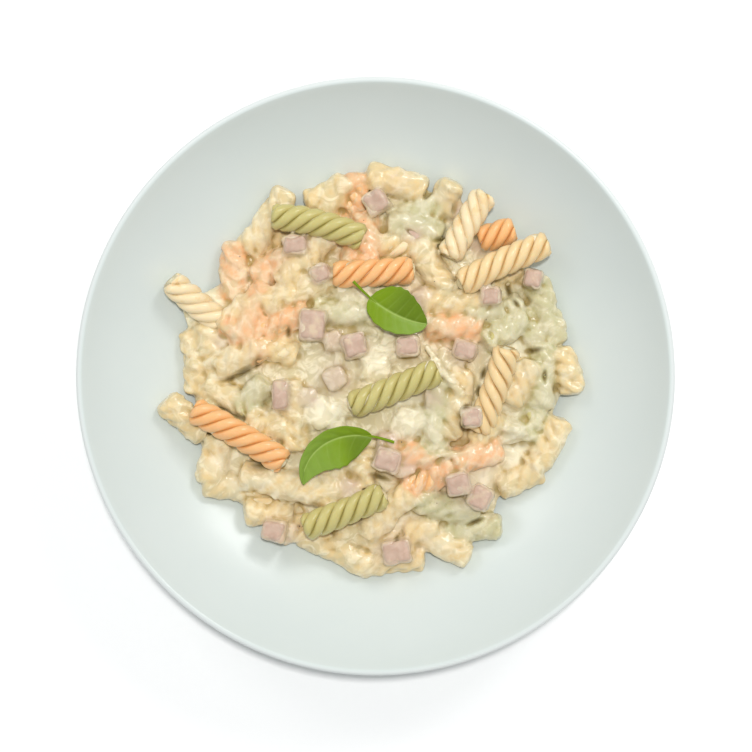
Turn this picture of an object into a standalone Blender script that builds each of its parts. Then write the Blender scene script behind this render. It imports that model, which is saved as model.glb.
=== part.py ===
"""A coupe bowl of three-colour fusilli in cream sauce, with diced ham and two basil leaves.

Units are metres, +Z is up, and the origin is the middle of the foot ring, where the bowl stands.
The bowl is turned. The sauced pasta is one mound, out to its uneven outline, with a bed cut in it for
each twist of pasta and each dice of ham that lies clear on top. Nothing in the dish moves.
"""

import math

import bmesh
import bpy
from mathutils import Matrix, Vector

MM = 0.001

# Bowl: a flat floor, then one arc up to a rounded lip.
RIM_RADIUS = 125 * MM
FLOOR_TOP = 8 * MM
FLAT_RADIUS = 36 * MM
WALL_ARC_RADIUS = 112 * MM
FLOOR_THICKNESS = 4.6 * MM
RIM_THICKNESS = 3.0 * MM
FOOT_RADIUS = 46 * MM
FOOT_WIDTH = 4.5 * MM
FOOT_EDGE = 1.0 * MM
RECESS_HEIGHT = 2.6 * MM
BOWL_SEGMENTS = 52
INNER_ARC_STEPS = 7
OUTER_ARC_STEPS = 6
LIP_STEPS = 3

# Mound of sauced pasta.
CLEARANCE = 0.5 * MM
CROWN_TOP = 37.5 * MM
CROWN_FALL = 6.5 * MM
CROWN_SPREAD = 80 * MM
EDGE_LIFT = 6.0 * MM
EDGE_ROUNDNESS = 0.5
LUMP_HEIGHT = 1.3 * MM
# Lumps of the top as waves: length along x and y, phase along x and y, share of the height.
LUMP_WAVES = (
    (27 * MM, 24 * MM, 0.7, 2.1, 1.0),
    (44 * MM, 44 * MM, 1.3, 1.3, 0.6),
)
MOUND_SEGMENTS = 48
MOUND_RINGS = 16
# Reach of the mound from the bowl's axis, in millimetres, at equal steps round from +X.
OUTLINE_REACH_MM = (
    86, 80, 78, 79, 83, 84, 85, 86, 88, 86, 80, 80,
    82, 78, 76, 82, 92, 82, 78, 80, 84, 86, 84, 83,
    70, 76, 79, 80, 80, 82, 82, 81, 76, 72, 80, 82,
)

# A twist of fusilli: three thick fins wound left-handed round a thin core.
FIN_RADIUS = 6.0 * MM
CORE_RADIUS = 2.9 * MM
FIN_HALF_ANGLE = math.radians(27)
FINS = 3
TWIST_PITCH = 18.5 * MM
TWIST_STEPS = 20
BED_SIDES = 10
BED_STEPS = 3
BED_CLEARANCE = 0.8 * MM

# A dice of ham.
DICE_BEVEL = 0.8 * MM

# A basil leaf.
LEAF_THICKNESS = 0.8 * MM
STALK_HALF_WIDTH = 0.6
STALK_ROWS = 2
LEAF_ROWS = 14
LEAF_COLUMNS = 4
BLADE_LEAN = 0.8
BLADE_FULLNESS = 0.75
MIDRIB_BEND_POWER = 1.6

# Finishes: colour, roughness.
GLAZE = ("glazed_porcelain", (0.74, 0.78, 0.76), 0.16)
SAUCE = ("cream_sauce", (0.84, 0.76, 0.56), 0.35)
SPINACH = ("spinach_pasta", (0.56, 0.54, 0.22), 0.40)
TOMATO = ("tomato_pasta", (0.93, 0.52, 0.25), 0.40)
PLAIN = ("plain_pasta", (0.90, 0.70, 0.38), 0.40)
HAM = ("cooked_ham", (0.62, 0.46, 0.40), 0.45)
BASIL = ("basil_leaf", (0.20, 0.38, 0.03), 0.45)

# Twists that lie clear on top: name, finish, middle (x, y), height of the axis, length, heading,
# tilt (far end up), roll, bend. Millimetres and degrees.
TWISTS = (
    ("fusilli_green_centre", SPINACH, 8.0, -5.5, 40.0, 40, 22, 0, 0, 4),
    ("fusilli_green_top", SPINACH, -24.0, 64.5, 35.5, 40, -14, 3, 40, -20),
    ("fusilli_green_bottom", SPINACH, -13.0, -57.5, 37.5, 37, 23, 3, 80, 6),
    ("fusilli_orange_left", TOMATO, -57.5, -25.0, 35.5, 45, -30, 5, 20, -6),
    ("fusilli_orange_middle", TOMATO, -1.0, 43.5, 37.0, 34, 3, 0, 60, 8),
    ("fusilli_orange_edge", TOMATO, 51.8, 60.4, 26.8, 16, 18, 4, 10, 0),
    ("fusilli_plain_top_right", PLAIN, 54.0, 48.2, 36.5, 41, 25, -2, 0, -8),
    ("fusilli_plain_right", PLAIN, 50.5, -6.0, 36.0, 38, 71, 12, 30, 14),
    ("fusilli_plain_left", PLAIN, -77.0, 31.5, 29.5, 28, -40, -17, 90, 8),
    ("fusilli_plain_top", PLAIN, 38.5, 64.0, 34.5, 31, 60, -2, 50, -6),
)

# Dice of ham that lie clear: middle (x, y), height of the middle, size (x, y, z), heading, tilt.
DICE = (
    (-34.0, 55.6, 35.2, 9.6, 6.8, 6.5, 4, 8),
    (0.5, 74.0, 33.5, 8.6, 8.8, 8.0, 32, 10),
    (48.8, 33.8, 35.0, 7.2, 6.8, 7.0, 3, 4),
    (67.0, 41.5, 32.5, 7.0, 7.0, 7.0, -12, 6),
    (-26.5, 21.5, 38.0, 10.0, 12.0, 8.0, -4, 5),
    (-9.0, 13.0, 38.5, 9.0, 9.0, 8.0, 18, -6),
    (13.5, 12.5, 38.5, 8.5, 7.5, 8.0, 6, 4),
    (40.4, -17.2, 42.7, 7.6, 7.6, 7.4, 4, 6),
    (-40.0, -8.0, 37.0, 6.0, 12.0, 8.0, 2, 6),
    (35.0, -45.5, 37.5, 9.4, 8.0, 8.0, 14, 4),
    (44.5, -51.5, 35.0, 8.2, 9.0, 8.0, -28, 8),
    (-23.2, 43.4, 37.0, 7.6, 6.6, 7.0, 24, 6),
    (38.0, 11.0, 37.0, 8.6, 6.6, 7.5, -14, 6),
    (5.0, -35.5, 37.5, 10.0, 8.6, 8.0, -20, 4),
    (9.0, -74.5, 32.0, 11.0, 9.0, 8.0, 8, 4),
    (-43.0, -66.0, 31.0, 9.0, 8.0, 8.0, -10, 6),
)

# Basil leaves, in millimetres and degrees: stalk end (x, y, z), heading there, turn of the midrib in
# plan, stalk length, blade length, fall of the stalk, rise of the blade's middle, and the width and the
# upward fold of the left and of the right half.
LEAVES = (
    ("basil_leaf_top", (-9.3, 39.7, 43.6), -46, 42, 9.9, 26.5, 2.6, 1.6, (11.8, 12), (7.6, 8)),
    ("basil_leaf_bottom", (7.9, -27.9, 40.8), 162, 115, 9.6, 41.5, 0.4, 1.6, (12.4, 6), (6.6, 50)),
)


def clear_scene():
    """Empties the scene that the script is run in."""
    for item in list(bpy.data.objects):
        bpy.data.objects.remove(item)


def new_collection(name):
    """A collection under the scene's own."""
    made = bpy.data.collections.new(name)
    bpy.context.scene.collection.children.link(made)
    return made


def finish_material(finish):
    """The Principled material of a finish, made once and shared."""
    name, colour, roughness = finish
    known = bpy.data.materials.get(name)
    if known:
        return known
    made = bpy.data.materials.new(name)
    made.use_nodes = True
    shader = made.node_tree.nodes["Principled BSDF"]
    shader.inputs["Base Color"].default_value = (*colour, 1.0)
    shader.inputs["Roughness"].default_value = roughness
    shader.inputs["Metallic"].default_value = 0.0
    return made


def add_object(name, bm, collection, finish=None):
    """Writes a bmesh to a new named object, with faces pointing out."""
    bmesh.ops.recalc_face_normals(bm, faces=bm.faces)
    mesh = bpy.data.meshes.new(name)
    bm.to_mesh(mesh)
    bm.free()
    item = bpy.data.objects.new(name, mesh)
    collection.objects.link(item)
    if finish:
        mesh.materials.append(finish_material(finish))
    return item


def as_helper(item):
    """Marks a cutter, which shapes other pieces and is no piece itself."""
    item.hide_render = True
    item.display_type = "WIRE"


# ---------------------------------------------------------------- bowl


def wall_angle_at_rim():
    """Angle of the wall's arc where its middle line meets the rim."""
    middle = RIM_RADIUS - RIM_THICKNESS / 2
    return math.asin((middle - FLAT_RADIUS) / (WALL_ARC_RADIUS + RIM_THICKNESS / 2))


def wall_point(angle, depth):
    """(radius, height) of a point on the wall's arc, depth behind the inner face."""
    reach = WALL_ARC_RADIUS + depth
    return (
        FLAT_RADIUS + reach * math.sin(angle),
        FLOOR_TOP + WALL_ARC_RADIUS - reach * math.cos(angle),
    )


def inner_height(radius):
    """Height of the bowl's inner face at a radius from its axis."""
    run = max(0.0, radius - FLAT_RADIUS)
    return FLOOR_TOP + WALL_ARC_RADIUS - math.sqrt(WALL_ARC_RADIUS**2 - run**2)


def bowl_profile():
    """Half section of the bowl: from the axis, up the inner face, over the lip and down to the recess."""
    rim_angle = wall_angle_at_rim()
    points = [(0.0, FLOOR_TOP), (FLAT_RADIUS, FLOOR_TOP)]
    for step in range(1, INNER_ARC_STEPS + 1):
        points.append(wall_point(rim_angle * step / INNER_ARC_STEPS, 0.0))
    lip_radius = RIM_THICKNESS / 2
    middle_r, middle_z = wall_point(rim_angle, lip_radius)
    inward = (-math.sin(rim_angle), math.cos(rim_angle))
    upward = (math.cos(rim_angle), math.sin(rim_angle))
    for step in range(1, LIP_STEPS):
        turn = math.pi * step / LIP_STEPS
        reach_in = lip_radius * math.cos(turn)
        reach_up = lip_radius * math.sin(turn)
        points.append(
            (
                middle_r + inward[0] * reach_in + upward[0] * reach_up,
                middle_z + inward[1] * reach_in + upward[1] * reach_up,
            )
        )
    foot_angle = math.asin((FOOT_RADIUS - FLAT_RADIUS) / (WALL_ARC_RADIUS + FLOOR_THICKNESS))
    for step in range(OUTER_ARC_STEPS + 1):
        share = step / OUTER_ARC_STEPS
        angle = rim_angle + (foot_angle - rim_angle) * share
        points.append(wall_point(angle, RIM_THICKNESS + (FLOOR_THICKNESS - RIM_THICKNESS) * share))
    foot_inner = FOOT_RADIUS - FOOT_WIDTH
    points += [
        (FOOT_RADIUS, FOOT_EDGE),
        (FOOT_RADIUS - FOOT_EDGE, 0.0),
        (foot_inner + FOOT_EDGE, 0.0),
        (foot_inner, RECESS_HEIGHT),
        (0.0, RECESS_HEIGHT),
    ]
    return points


def make_bowl(collection):
    """The bowl, turned from its half section."""
    bm = bmesh.new()
    ring = [bm.verts.new((radius, 0.0, height)) for radius, height in bowl_profile()]
    for here, following in zip(ring, ring[1:]):
        bm.edges.new((here, following))
    mesh = bpy.data.meshes.new("bowl")
    bm.to_mesh(mesh)
    bm.free()
    bowl = bpy.data.objects.new("bowl", mesh)
    collection.objects.link(bowl)
    mesh.materials.append(finish_material(GLAZE))
    turn = bowl.modifiers.new("turn", "SCREW")
    turn.axis = "Z"
    turn.steps = BOWL_SEGMENTS
    turn.render_steps = BOWL_SEGMENTS
    turn.use_merge_vertices = True
    turn.merge_threshold = 0.05 * MM
    turn.use_smooth_shade = True
    return bowl


# ---------------------------------------------------------------- mound


def outline_reach(angle):
    """Reach of the mound's outline at an angle, smooth between the stated ones."""
    count = len(OUTLINE_REACH_MM)
    place = (angle / math.tau * count) % count
    before = int(place)
    share = place - before
    share = share * share * (3 - 2 * share)
    low = OUTLINE_REACH_MM[before]
    high = OUTLINE_REACH_MM[(before + 1) % count]
    return (low + (high - low) * share) * MM


def mound_top(x, y):
    """Height of the mound's top: a low crown with lumps."""
    height = CROWN_TOP - CROWN_FALL * (x * x + y * y) / CROWN_SPREAD**2
    for length_x, length_y, phase_x, phase_y, share in LUMP_WAVES:
        wave_x = math.sin(math.tau * x / length_x + phase_x)
        wave_y = math.sin(math.tau * y / length_y + phase_y)
        height += LUMP_HEIGHT * share * wave_x * wave_y
    return height


def make_mound(collection):
    """The mound: a ball whose upper half is drawn to the top and whose lower half lies on the bowl."""
    bm = bmesh.new()
    bmesh.ops.create_uvsphere(
        bm, u_segments=MOUND_SEGMENTS, v_segments=MOUND_RINGS, radius=1.0
    )
    for vert in bm.verts:
        angle = math.atan2(vert.co.y, vert.co.x)
        reach = outline_reach(angle)
        radius = reach * min(1.0, math.hypot(vert.co.x, vert.co.y))
        x = radius * math.cos(angle)
        y = radius * math.sin(angle)
        floor = inner_height(radius) + CLEARANCE
        edge = inner_height(reach) + CLEARANCE + EDGE_LIFT
        target = mound_top(x, y) if vert.co.z > 0 else floor
        share = abs(vert.co.z) ** EDGE_ROUNDNESS
        vert.co = Vector((x, y, edge + (target - edge) * share))
    return add_object("pasta_heap", bm, collection, SAUCE)


# ---------------------------------------------------------------- fusilli


def fin_radii():
    """Radii round a section of a twist: two shoulders to a fin, and a groove between fins."""
    radii = []
    for fin in range(FINS):
        middle = math.tau * fin / FINS
        radii.append((middle - FIN_HALF_ANGLE, FIN_RADIUS))
        radii.append((middle + FIN_HALF_ANGLE, FIN_RADIUS))
        radii.append((middle + math.pi / FINS, CORE_RADIUS))
    return radii


def round_radii(radius, sides):
    """Radii round a plain round section."""
    return [(math.tau * side / sides, radius) for side in range(sides)]


def swept_bar(radii, length, steps, turn, bend):
    """A section drawn along X while it turns, then bent sideways into an arc.

    radii holds (angle, radius) pairs; turn is the whole twist and bend the whole arc, in radians.
    """
    bm = bmesh.new()
    made = bmesh.ops.create_circle(bm, cap_ends=True, segments=len(radii), radius=1.0)
    ring = sorted(made["verts"], key=lambda v: math.atan2(v.co.y, v.co.x) % math.tau)
    for vert, (angle, radius) in zip(ring, sorted(radii, key=lambda r: r[0] % math.tau)):
        vert.co = Vector((-length / 2, radius * math.cos(angle), radius * math.sin(angle)))
    section = bm.faces[:]
    bmesh.ops.spin(
        bm,
        geom=section,
        cent=(0.0, 0.0, 0.0),
        axis=(1.0, 0.0, 0.0),
        dvec=(length / steps, 0.0, 0.0),
        angle=turn,
        steps=steps,
        use_duplicate=False,
    )
    if bend:
        arc = length / bend
        for vert in bm.verts:
            swing = vert.co.x / arc
            reach = arc - vert.co.y
            vert.co.x = reach * math.sin(swing)
            vert.co.y = arc - reach * math.cos(swing)
    return bm


def placed(item, x, y, z, heading, tilt):
    """Tilts an object, heads it and moves it. Millimetres, degrees."""
    item.matrix_world = (
        Matrix.Translation(Vector((x, y, z)) * MM)
        @ Matrix.Rotation(math.radians(heading), 4, "Z")
        @ Matrix.Rotation(math.radians(-tilt), 4, "Y")
    )
    return item


def make_twists(collection, cutters):
    """Every clear twist, and the cutter of the bed that it lies in."""
    beds = []
    for name, finish, x, y, z, length_mm, heading, tilt, roll, bend in TWISTS:
        length = length_mm * MM
        turn = -math.tau * length / TWIST_PITCH
        # The roll turns the section before the bend, so that the bend stays level.
        radii = [(angle + math.radians(roll), radius) for angle, radius in fin_radii()]
        bar = swept_bar(radii, length, TWIST_STEPS, turn, math.radians(bend))
        placed(add_object(name, bar, collection, finish), x, y, z, heading, tilt)
        bed_radii = round_radii(FIN_RADIUS + BED_CLEARANCE, BED_SIDES)
        bed_length = length + 2 * CLEARANCE
        bed_steps = BED_STEPS if bend else 1
        bed_bar = swept_bar(bed_radii, bed_length, bed_steps, 0.0, math.radians(bend))
        bed = add_object("bed_" + name, bed_bar, cutters)
        beds.append(placed(bed, x, y, z, heading, tilt))
    return beds


# ---------------------------------------------------------------- ham


def make_box(size):
    """A box of that size about the origin."""
    bm = bmesh.new()
    bmesh.ops.create_cube(bm, size=1.0)
    bmesh.ops.scale(bm, vec=size, verts=bm.verts)
    return bm


def make_dice(collection, cutters):
    """Every clear dice of ham, and the cutter of its bed."""
    beds = []
    for number, (x, y, z, wide, deep, high, heading, tilt) in enumerate(DICE, 1):
        size = Vector((wide, deep, high)) * MM
        name = f"ham_dice_{number:02d}"
        dice = placed(add_object(name, make_box(size), collection, HAM), x, y, z, heading, tilt)
        bevel = dice.modifiers.new("rounded", "BEVEL")
        bevel.width = DICE_BEVEL
        bevel.segments = 1
        clear = size + Vector((2, 2, 2)) * CLEARANCE
        bed = add_object("bed_" + name, make_box(clear), cutters)
        beds.append(placed(bed, x, y, z, heading, tilt))
    return beds


# ---------------------------------------------------------------- basil


def blade_half_width(share, widest):
    """Half width of a blade at a share of its length: round at the stalk, pointed at the tip."""
    return widest * math.sin(math.pi * share**BLADE_LEAN) ** BLADE_FULLNESS


def walk_midrib(heading, turn, stalk, blade):
    """Rows along a leaf: distance along the blade from 0 to 1 (None on the stalk), place and direction."""
    rows = []
    place = Vector((0.0, 0.0))
    total = stalk + blade
    run = 0.0
    for row in range(LEAF_ROWS + 1):
        on_stalk = row < STALK_ROWS
        share = None if on_stalk else (row - STALK_ROWS) / (LEAF_ROWS - STALK_ROWS)
        step = stalk / STALK_ROWS if on_stalk else blade / (LEAF_ROWS - STALK_ROWS)
        angle = math.radians(heading + turn * ((run + step / 2) / total) ** MIDRIB_BEND_POWER)
        way = Vector((math.cos(angle), math.sin(angle)))
        rows.append((share, run, place.copy(), way))
        place += way * step
        run += step
    return rows


def make_leaf(collection, leaf):
    """A leaf and its stalk, as one thin curved sheet with a thickness."""
    name, stalk_end, heading, turn, stalk, blade, fall, rise, left, right = leaf
    rows = walk_midrib(heading, turn, stalk, blade)
    bm = bmesh.new()
    bmesh.ops.create_grid(bm, x_segments=LEAF_ROWS, y_segments=LEAF_COLUMNS, size=1.0)
    for vert in bm.verts:
        share, run, place, way = rows[round((vert.co.x + 1) / 2 * LEAF_ROWS)]
        across = vert.co.y
        widest, fold = left if across > 0 else right
        half = STALK_HALF_WIDTH
        height = -fall * min(1.0, run / stalk)
        if share is not None:
            half = max(half, blade_half_width(share, widest))
            height += rise * math.sin(math.pi * share)
        reach = half * across * math.cos(math.radians(fold))
        height += half * abs(across) * math.sin(math.radians(fold))
        vert.co = Vector((place.x - way.y * reach, place.y + way.x * reach, height)) * MM
    item = add_object(name, bm, collection, BASIL)
    item.location = Vector(stalk_end) * MM
    thick = item.modifiers.new("thickness", "SOLIDIFY")
    thick.thickness = LEAF_THICKNESS
    thick.offset = 0.0
    return item


def main():
    """Builds the dish."""
    clear_scene()
    dish = new_collection("bowl_of_fusilli_carbonara")
    cutters = new_collection("bed_cutters")
    make_bowl(dish)
    mound = make_mound(dish)
    for bed in make_twists(dish, cutters) + make_dice(dish, cutters):
        as_helper(bed)
        cut = mound.modifiers.new(bed.name, "BOOLEAN")
        cut.operation = "DIFFERENCE"
        cut.solver = "EXACT"
        cut.object = bed
    for leaf in LEAVES:
        make_leaf(dish, leaf)


if __name__ == "__main__":
    main()
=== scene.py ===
"""A coupe bowl of three-colour fusilli in a cream sauce, with diced ham, basil and cracked pepper.

Units are metres, +Z is up and the origin is the middle of the foot ring. The bowl is turned, every
twist of fusilli is drawn along its axis while it turns, and the sauce is one skin over a core mound
and the pasta that lies in it.
"""

import logging
import math
import random
from dataclasses import dataclass, field, replace
from enum import Enum
from typing import Any, Iterable, Sequence

import bmesh
import bpy
import numpy as np
from mathutils import Matrix, Vector, noise
from mathutils.bvhtree import BVHTree


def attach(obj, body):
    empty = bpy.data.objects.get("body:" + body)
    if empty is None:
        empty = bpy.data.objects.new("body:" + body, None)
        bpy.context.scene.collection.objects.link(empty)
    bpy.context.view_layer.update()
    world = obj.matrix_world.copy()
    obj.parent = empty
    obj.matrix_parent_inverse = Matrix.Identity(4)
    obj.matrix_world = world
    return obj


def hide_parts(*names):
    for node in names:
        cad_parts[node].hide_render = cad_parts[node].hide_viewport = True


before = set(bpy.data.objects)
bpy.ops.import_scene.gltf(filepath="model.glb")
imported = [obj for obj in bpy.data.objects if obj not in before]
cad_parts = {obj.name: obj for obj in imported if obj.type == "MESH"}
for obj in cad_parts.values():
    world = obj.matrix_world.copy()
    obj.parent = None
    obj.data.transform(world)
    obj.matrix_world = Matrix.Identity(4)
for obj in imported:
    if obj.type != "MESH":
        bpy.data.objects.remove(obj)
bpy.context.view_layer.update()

LOG = logging.getLogger("pasta_bowl")
MM = 0.001
BODY = "root"
SHADER = "Principled BSDF"
# Points nearer to a twist's axis than this, in millimetres, lie on it.
AXIS = 0.01
# Where the lights are aimed, in metres.
AIM = Vector((0.0, 0.0, 0.03))

Colour = tuple[float, float, float, float]
Number = float | np.ndarray


class PastaKind(Enum):
    """The three doughs of the fusilli."""

    PLAIN = "plain"
    SPINACH = "spinach"
    TOMATO = "tomato"


PLAIN, SPINACH, TOMATO = PastaKind


def srgb(code: str) -> Colour:
    """Turns an sRGB hex colour to linear.

    Args:
        code: Six hex digits.

    Returns:
        Linear red, green and blue, and 1.
    """
    parts = [int(code[place : place + 2], 16) / 255 for place in (0, 2, 4)]
    bent = [part / 12.92 if part <= 0.04045 else ((part + 0.055) / 1.055) ** 2.4 for part in parts]
    return (*bent, 1.0)


def cells(size: float) -> float:
    """Scale of a pattern whose cells are a size in millimetres across."""
    return 1 / (size * MM)


def add_node(
    tree: bpy.types.NodeTree, kind: str, sockets: dict[Any, Any] | None = None, **settings: Any
) -> bpy.types.Node:
    """Adds a shader node to a tree.

    Args:
        tree: The material's node tree.
        kind: Blender's name for the node, without its "ShaderNode".
        sockets: Input name or number, and the value or the output that it takes.
        settings: The node's own properties.

    Returns:
        The new node.
    """
    node = tree.nodes.new("ShaderNode" + kind)
    for name, value in settings.items():
        setattr(node, name, value)
    for key, value in (sockets or {}).items():
        if isinstance(value, bpy.types.NodeSocket):
            tree.links.new(value, node.inputs[key])
        else:
            node.inputs[key].default_value = value
    return node


def kept_in(low: float, high: float, value: float) -> float:
    """A value kept between two others."""
    return min(high, max(low, value))


def smooth_share(low: float, high: float, value: float) -> float:
    """Eased share of the way of a value from low to high, kept between 0 and 1."""
    share = kept_in(0.0, 1.0, (value - low) / (high - low))
    return share * share * (3 - 2 * share)


def noise_at(spot: Vector, shifts: Iterable[tuple[float, float, float]]) -> Vector:
    """Smooth noise at three shifts of a point, as a vector that is the same each run."""
    return Vector([noise.noise(spot + Vector(shift)) for shift in shifts])


def finish_piece(name: str, bm: bmesh.types.BMesh, material: bpy.types.Material) -> bpy.types.Object:
    """Writes a bmesh to a smooth shaded object at the origin.

    Args:
        name: The piece's name.
        bm: The mesh in its place, which is freed.
        material: The piece's finish.

    Returns:
        The new object, in the scene.
    """
    bmesh.ops.recalc_face_normals(bm, faces=bm.faces)
    mesh = bpy.data.meshes.new(name)
    bm.to_mesh(mesh)
    bm.free()
    mesh.shade_smooth()
    mesh.materials.append(material)
    piece = bpy.data.objects.new(name, mesh)
    bpy.context.scene.collection.objects.link(piece)
    return piece


def settle(piece: bpy.types.Object, slot: str, node: str) -> None:
    """Makes a piece ride on the dish and stand for its node, and reports it with its slot.

    Args:
        piece: The finished piece.
        slot: The slot of its finish.
        node: The CAD node that it replaces.
    """
    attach(piece, BODY)
    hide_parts(node)
    LOG.info("%s: %d vertices, slot %s, for %s", piece.name, len(piece.data.vertices), slot, node)


def join_bmesh(parts: Iterable[bmesh.types.BMesh]) -> bmesh.types.BMesh:
    """Joins bmeshes.

    Args:
        parts: The bmeshes, which are freed.

    Returns:
        One bmesh that holds them all.
    """
    whole = bmesh.new()
    for part in parts:
        held = bpy.data.meshes.new("part")
        part.to_mesh(held)
        part.free()
        whole.from_mesh(held)
        bpy.data.meshes.remove(held)
    return whole


def evaluated_mesh(piece: bpy.types.Object) -> bpy.types.Mesh:
    """A new mesh of a piece as its modifiers leave it."""
    graph = bpy.context.evaluated_depsgraph_get()
    return bpy.data.meshes.new_from_object(piece.evaluated_get(graph))


def read_rows(rows: Any, name: str, width: int, kind: type) -> np.ndarray:
    """Reads one property of every row of a mesh's collection.

    Args:
        rows: The mesh's vertices or edges.
        name: The property.
        width: How many numbers each row holds.
        kind: Type of number.

    Returns:
        The numbers, row by row.
    """
    held = np.empty(len(rows) * width, dtype=kind)
    rows.foreach_get(name, held)
    return held.reshape(-1, width)


def lay_out(x: float, y: float, z: float, heading: float, tilt: float = 0.0) -> Matrix:
    """The turn and move that lay a piece down. Millimetres and degrees."""
    return (
        Matrix.Translation(Vector((x, y, z)) * MM)
        @ Matrix.Rotation(math.radians(heading), 4, "Z")
        @ Matrix.Rotation(math.radians(-tilt), 4, "Y")
    )


# ---------------------------------------------------------------- finishes


@dataclass(frozen=True)
class Finish:
    """What every finish has: a material with one Principled shader."""

    name: str

    def begin(self, **uniform: Any) -> tuple[bpy.types.Material, bpy.types.NodeTree, bpy.types.NodeSocket]:
        """Starts the material.

        Args:
            uniform: The shader's own numbers, with underscores for spaces.

        Returns:
            The material, its tree and the piece's own coordinates.
        """
        made = bpy.data.materials.new(self.name)
        made.use_nodes = True
        for key, value in uniform.items():
            made.node_tree.nodes[SHADER].inputs[key.replace("_", " ")].default_value = value
        place = add_node(made.node_tree, "TexCoord").outputs["Object"]
        return made, made.node_tree, place

    def dress(
        self, made: bpy.types.Material, base: str, tints: Iterable[tuple[Any, str]], **sources: Any
    ) -> bpy.types.Material:
        """Lays tints over a base colour, one on another, and links the shader to what it reads.

        Args:
            made: The material.
            base: The colour under the tints.
            tints: Share and colour of each tint.
            sources: The other outputs that the shader reads, by input.

        Returns:
            The finished material.
        """
        tree = made.node_tree
        colour: Any = srgb(base)
        for share, tint in tints:
            mixed = add_node(tree, "Mix", {0: share, 6: colour, 7: srgb(tint)}, data_type="RGBA")
            colour = mixed.outputs[2]
        for name, source in {"Base Color": colour, **sources}.items():
            tree.links.new(source, tree.nodes[SHADER].inputs[name])
        return made


@dataclass(frozen=True)
class GlazedPorcelain(Finish):
    """Thrown porcelain under a clear glaze.

    To the eye: a pale grey green body with soft mirror glints, a lighter line over the lip that is a
    painted highlight, and a matt unglazed ring where the foot stands.
    """

    name: str = "glazed_porcelain"
    body: str = "CFD7D3"
    cloud: str = "D4DBD7"
    # Lighter colour of the lip: a painted highlight along the rim.
    lip: str = "D9DEDB"
    bisque: str = "DDD8CC"
    lip_radius: float = 123.9 * MM
    lip_fade: float = 0.9 * MM
    foot_top: float = 0.5 * MM
    foot_fade: float = 0.3 * MM
    # Millimetres over which the glaze pools and thins, and from dimple to dimple of its orange peel.
    pooling: float = 30.3
    dimple: float = 1.43

    def make(self) -> bpy.types.Material:
        """Makes the material.

        Returns:
            The material.
        """
        made, tree, place = self.begin(IOR=1.5, Coat_Roughness=0.16, Coat_Weight=0.2)
        x, y, z = add_node(tree, "SeparateXYZ", {0: place}).outputs
        flat = add_node(tree, "CombineXYZ", {0: x, 1: y}).outputs[0]
        radius = add_node(tree, "VectorMath", {0: flat}, operation="LENGTH").outputs["Value"]
        # The lip's painted highlight fades in over the last of the radius.
        lip = add_node(
            tree, "MapRange",
            {"Value": radius, "From Min": self.lip_radius - self.lip_fade, "From Max": self.lip_radius},
            interpolation_type="SMOOTHSTEP",
        ).outputs[0]
        foot = add_node(
            tree, "MapRange",
            {"Value": z, "From Min": self.foot_top, "From Max": self.foot_top - self.foot_fade},
        ).outputs[0]
        drift = add_node(
            tree, "TexNoise", {"Vector": place, "Scale": cells(self.pooling), "Detail": 2.0}
        ).outputs[0]
        tints = ((drift, self.cloud), (lip, self.lip), (foot, self.bisque))
        sheen = add_node(tree, "MapRange", {"Value": foot, "To Min": 0.3, "To Max": 0.75}).outputs[0]
        peel = add_node(tree, "TexNoise", {"Vector": place, "Scale": cells(self.dimple), "Detail": 1.0})
        bump = add_node(tree, "Bump", {"Strength": 0.04, "Distance": 0.2 * MM, "Height": peel.outputs[0]})
        return self.dress(made, self.body, tints, Roughness=sheen, Normal=bump.outputs[0])


@dataclass(frozen=True)
class CookedPasta(Finish):
    """Extruded durum dough, boiled and tossed in cream.

    To the eye: waxy bands with a soft glow through them, with painted shade down the flanks and a darker,
    more saturated painted shade in the grooves, and patches where a film of cream clings.
    """

    band: str
    # The shade colour is painted shade down the flanks and also mottles the bands at random; the groove
    # colour is painted shade in the grooves.
    shade: str
    groove: str
    film: str
    # Share of the dough that a film of cream covers.
    veil: float
    # Millimetres across the clouds of the dough, the patches of cream and the die marks.
    cloud: float = 5.0
    patch: float = 6.25
    grain: float = 0.625

    def make(self) -> bpy.types.Material:
        """Makes the material.

        Returns:
            The material.
        """
        made, tree, place = self.begin(
            IOR=1.42, Subsurface_Weight=0.25, Subsurface_Scale=1.5 * MM, Subsurface_Radius=(1.0, 0.7, 0.4),
            Coat_Weight=0.5, Coat_Roughness=0.14,
        )
        # Painted shade: the flanks and grooves darken with the groove's depth.
        depth = add_node(tree, "Attribute", attribute_name="groove").outputs["Fac"]
        painted_flank_shade, painted_groove_shade = (
            add_node(
                tree, "MapRange", {"Value": depth, "From Min": low, "From Max": high},
                interpolation_type="SMOOTHSTEP",
            ).outputs[0]
            for low, high in ((0.12, 0.6), (0.55, 1.0))
        )
        cloud = add_node(
            tree, "TexNoise", {"Vector": place, "Scale": cells(self.cloud), "Detail": 3.0}
        ).outputs[0]
        tone = add_node(
            tree, "MapRange", {"Value": cloud, "From Min": 0.35, "From Max": 0.7, "To Max": 0.45}
        ).outputs[0]
        patch = add_node(
            tree, "TexNoise", {"Vector": place, "Scale": cells(self.patch), "Detail": 4.0, "Roughness": 0.6}
        ).outputs[0]
        edge = 0.78 - 0.42 * self.veil
        cling = add_node(
            tree, "MapRange",
            {"Value": patch, "From Min": edge - 0.06, "From Max": edge + 0.07, "To Max": 0.75},
            interpolation_type="SMOOTHSTEP",
        ).outputs[0]
        tints = ((tone, self.shade), (painted_flank_shade, self.shade), (painted_groove_shade, self.groove), (cling, self.film))
        gloss = add_node(tree, "MapRange", {"Value": cloud, "To Min": 0.28, "To Max": 0.48}).outputs[0]
        grain = add_node(tree, "TexNoise", {"Vector": place, "Scale": cells(self.grain), "Detail": 2.0})
        bump = add_node(tree, "Bump", {"Strength": 0.12, "Distance": 0.4 * MM, "Height": grain.outputs[0]})
        return self.dress(made, self.band, tints, Roughness=gloss, Normal=bump.outputs[0])


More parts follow.
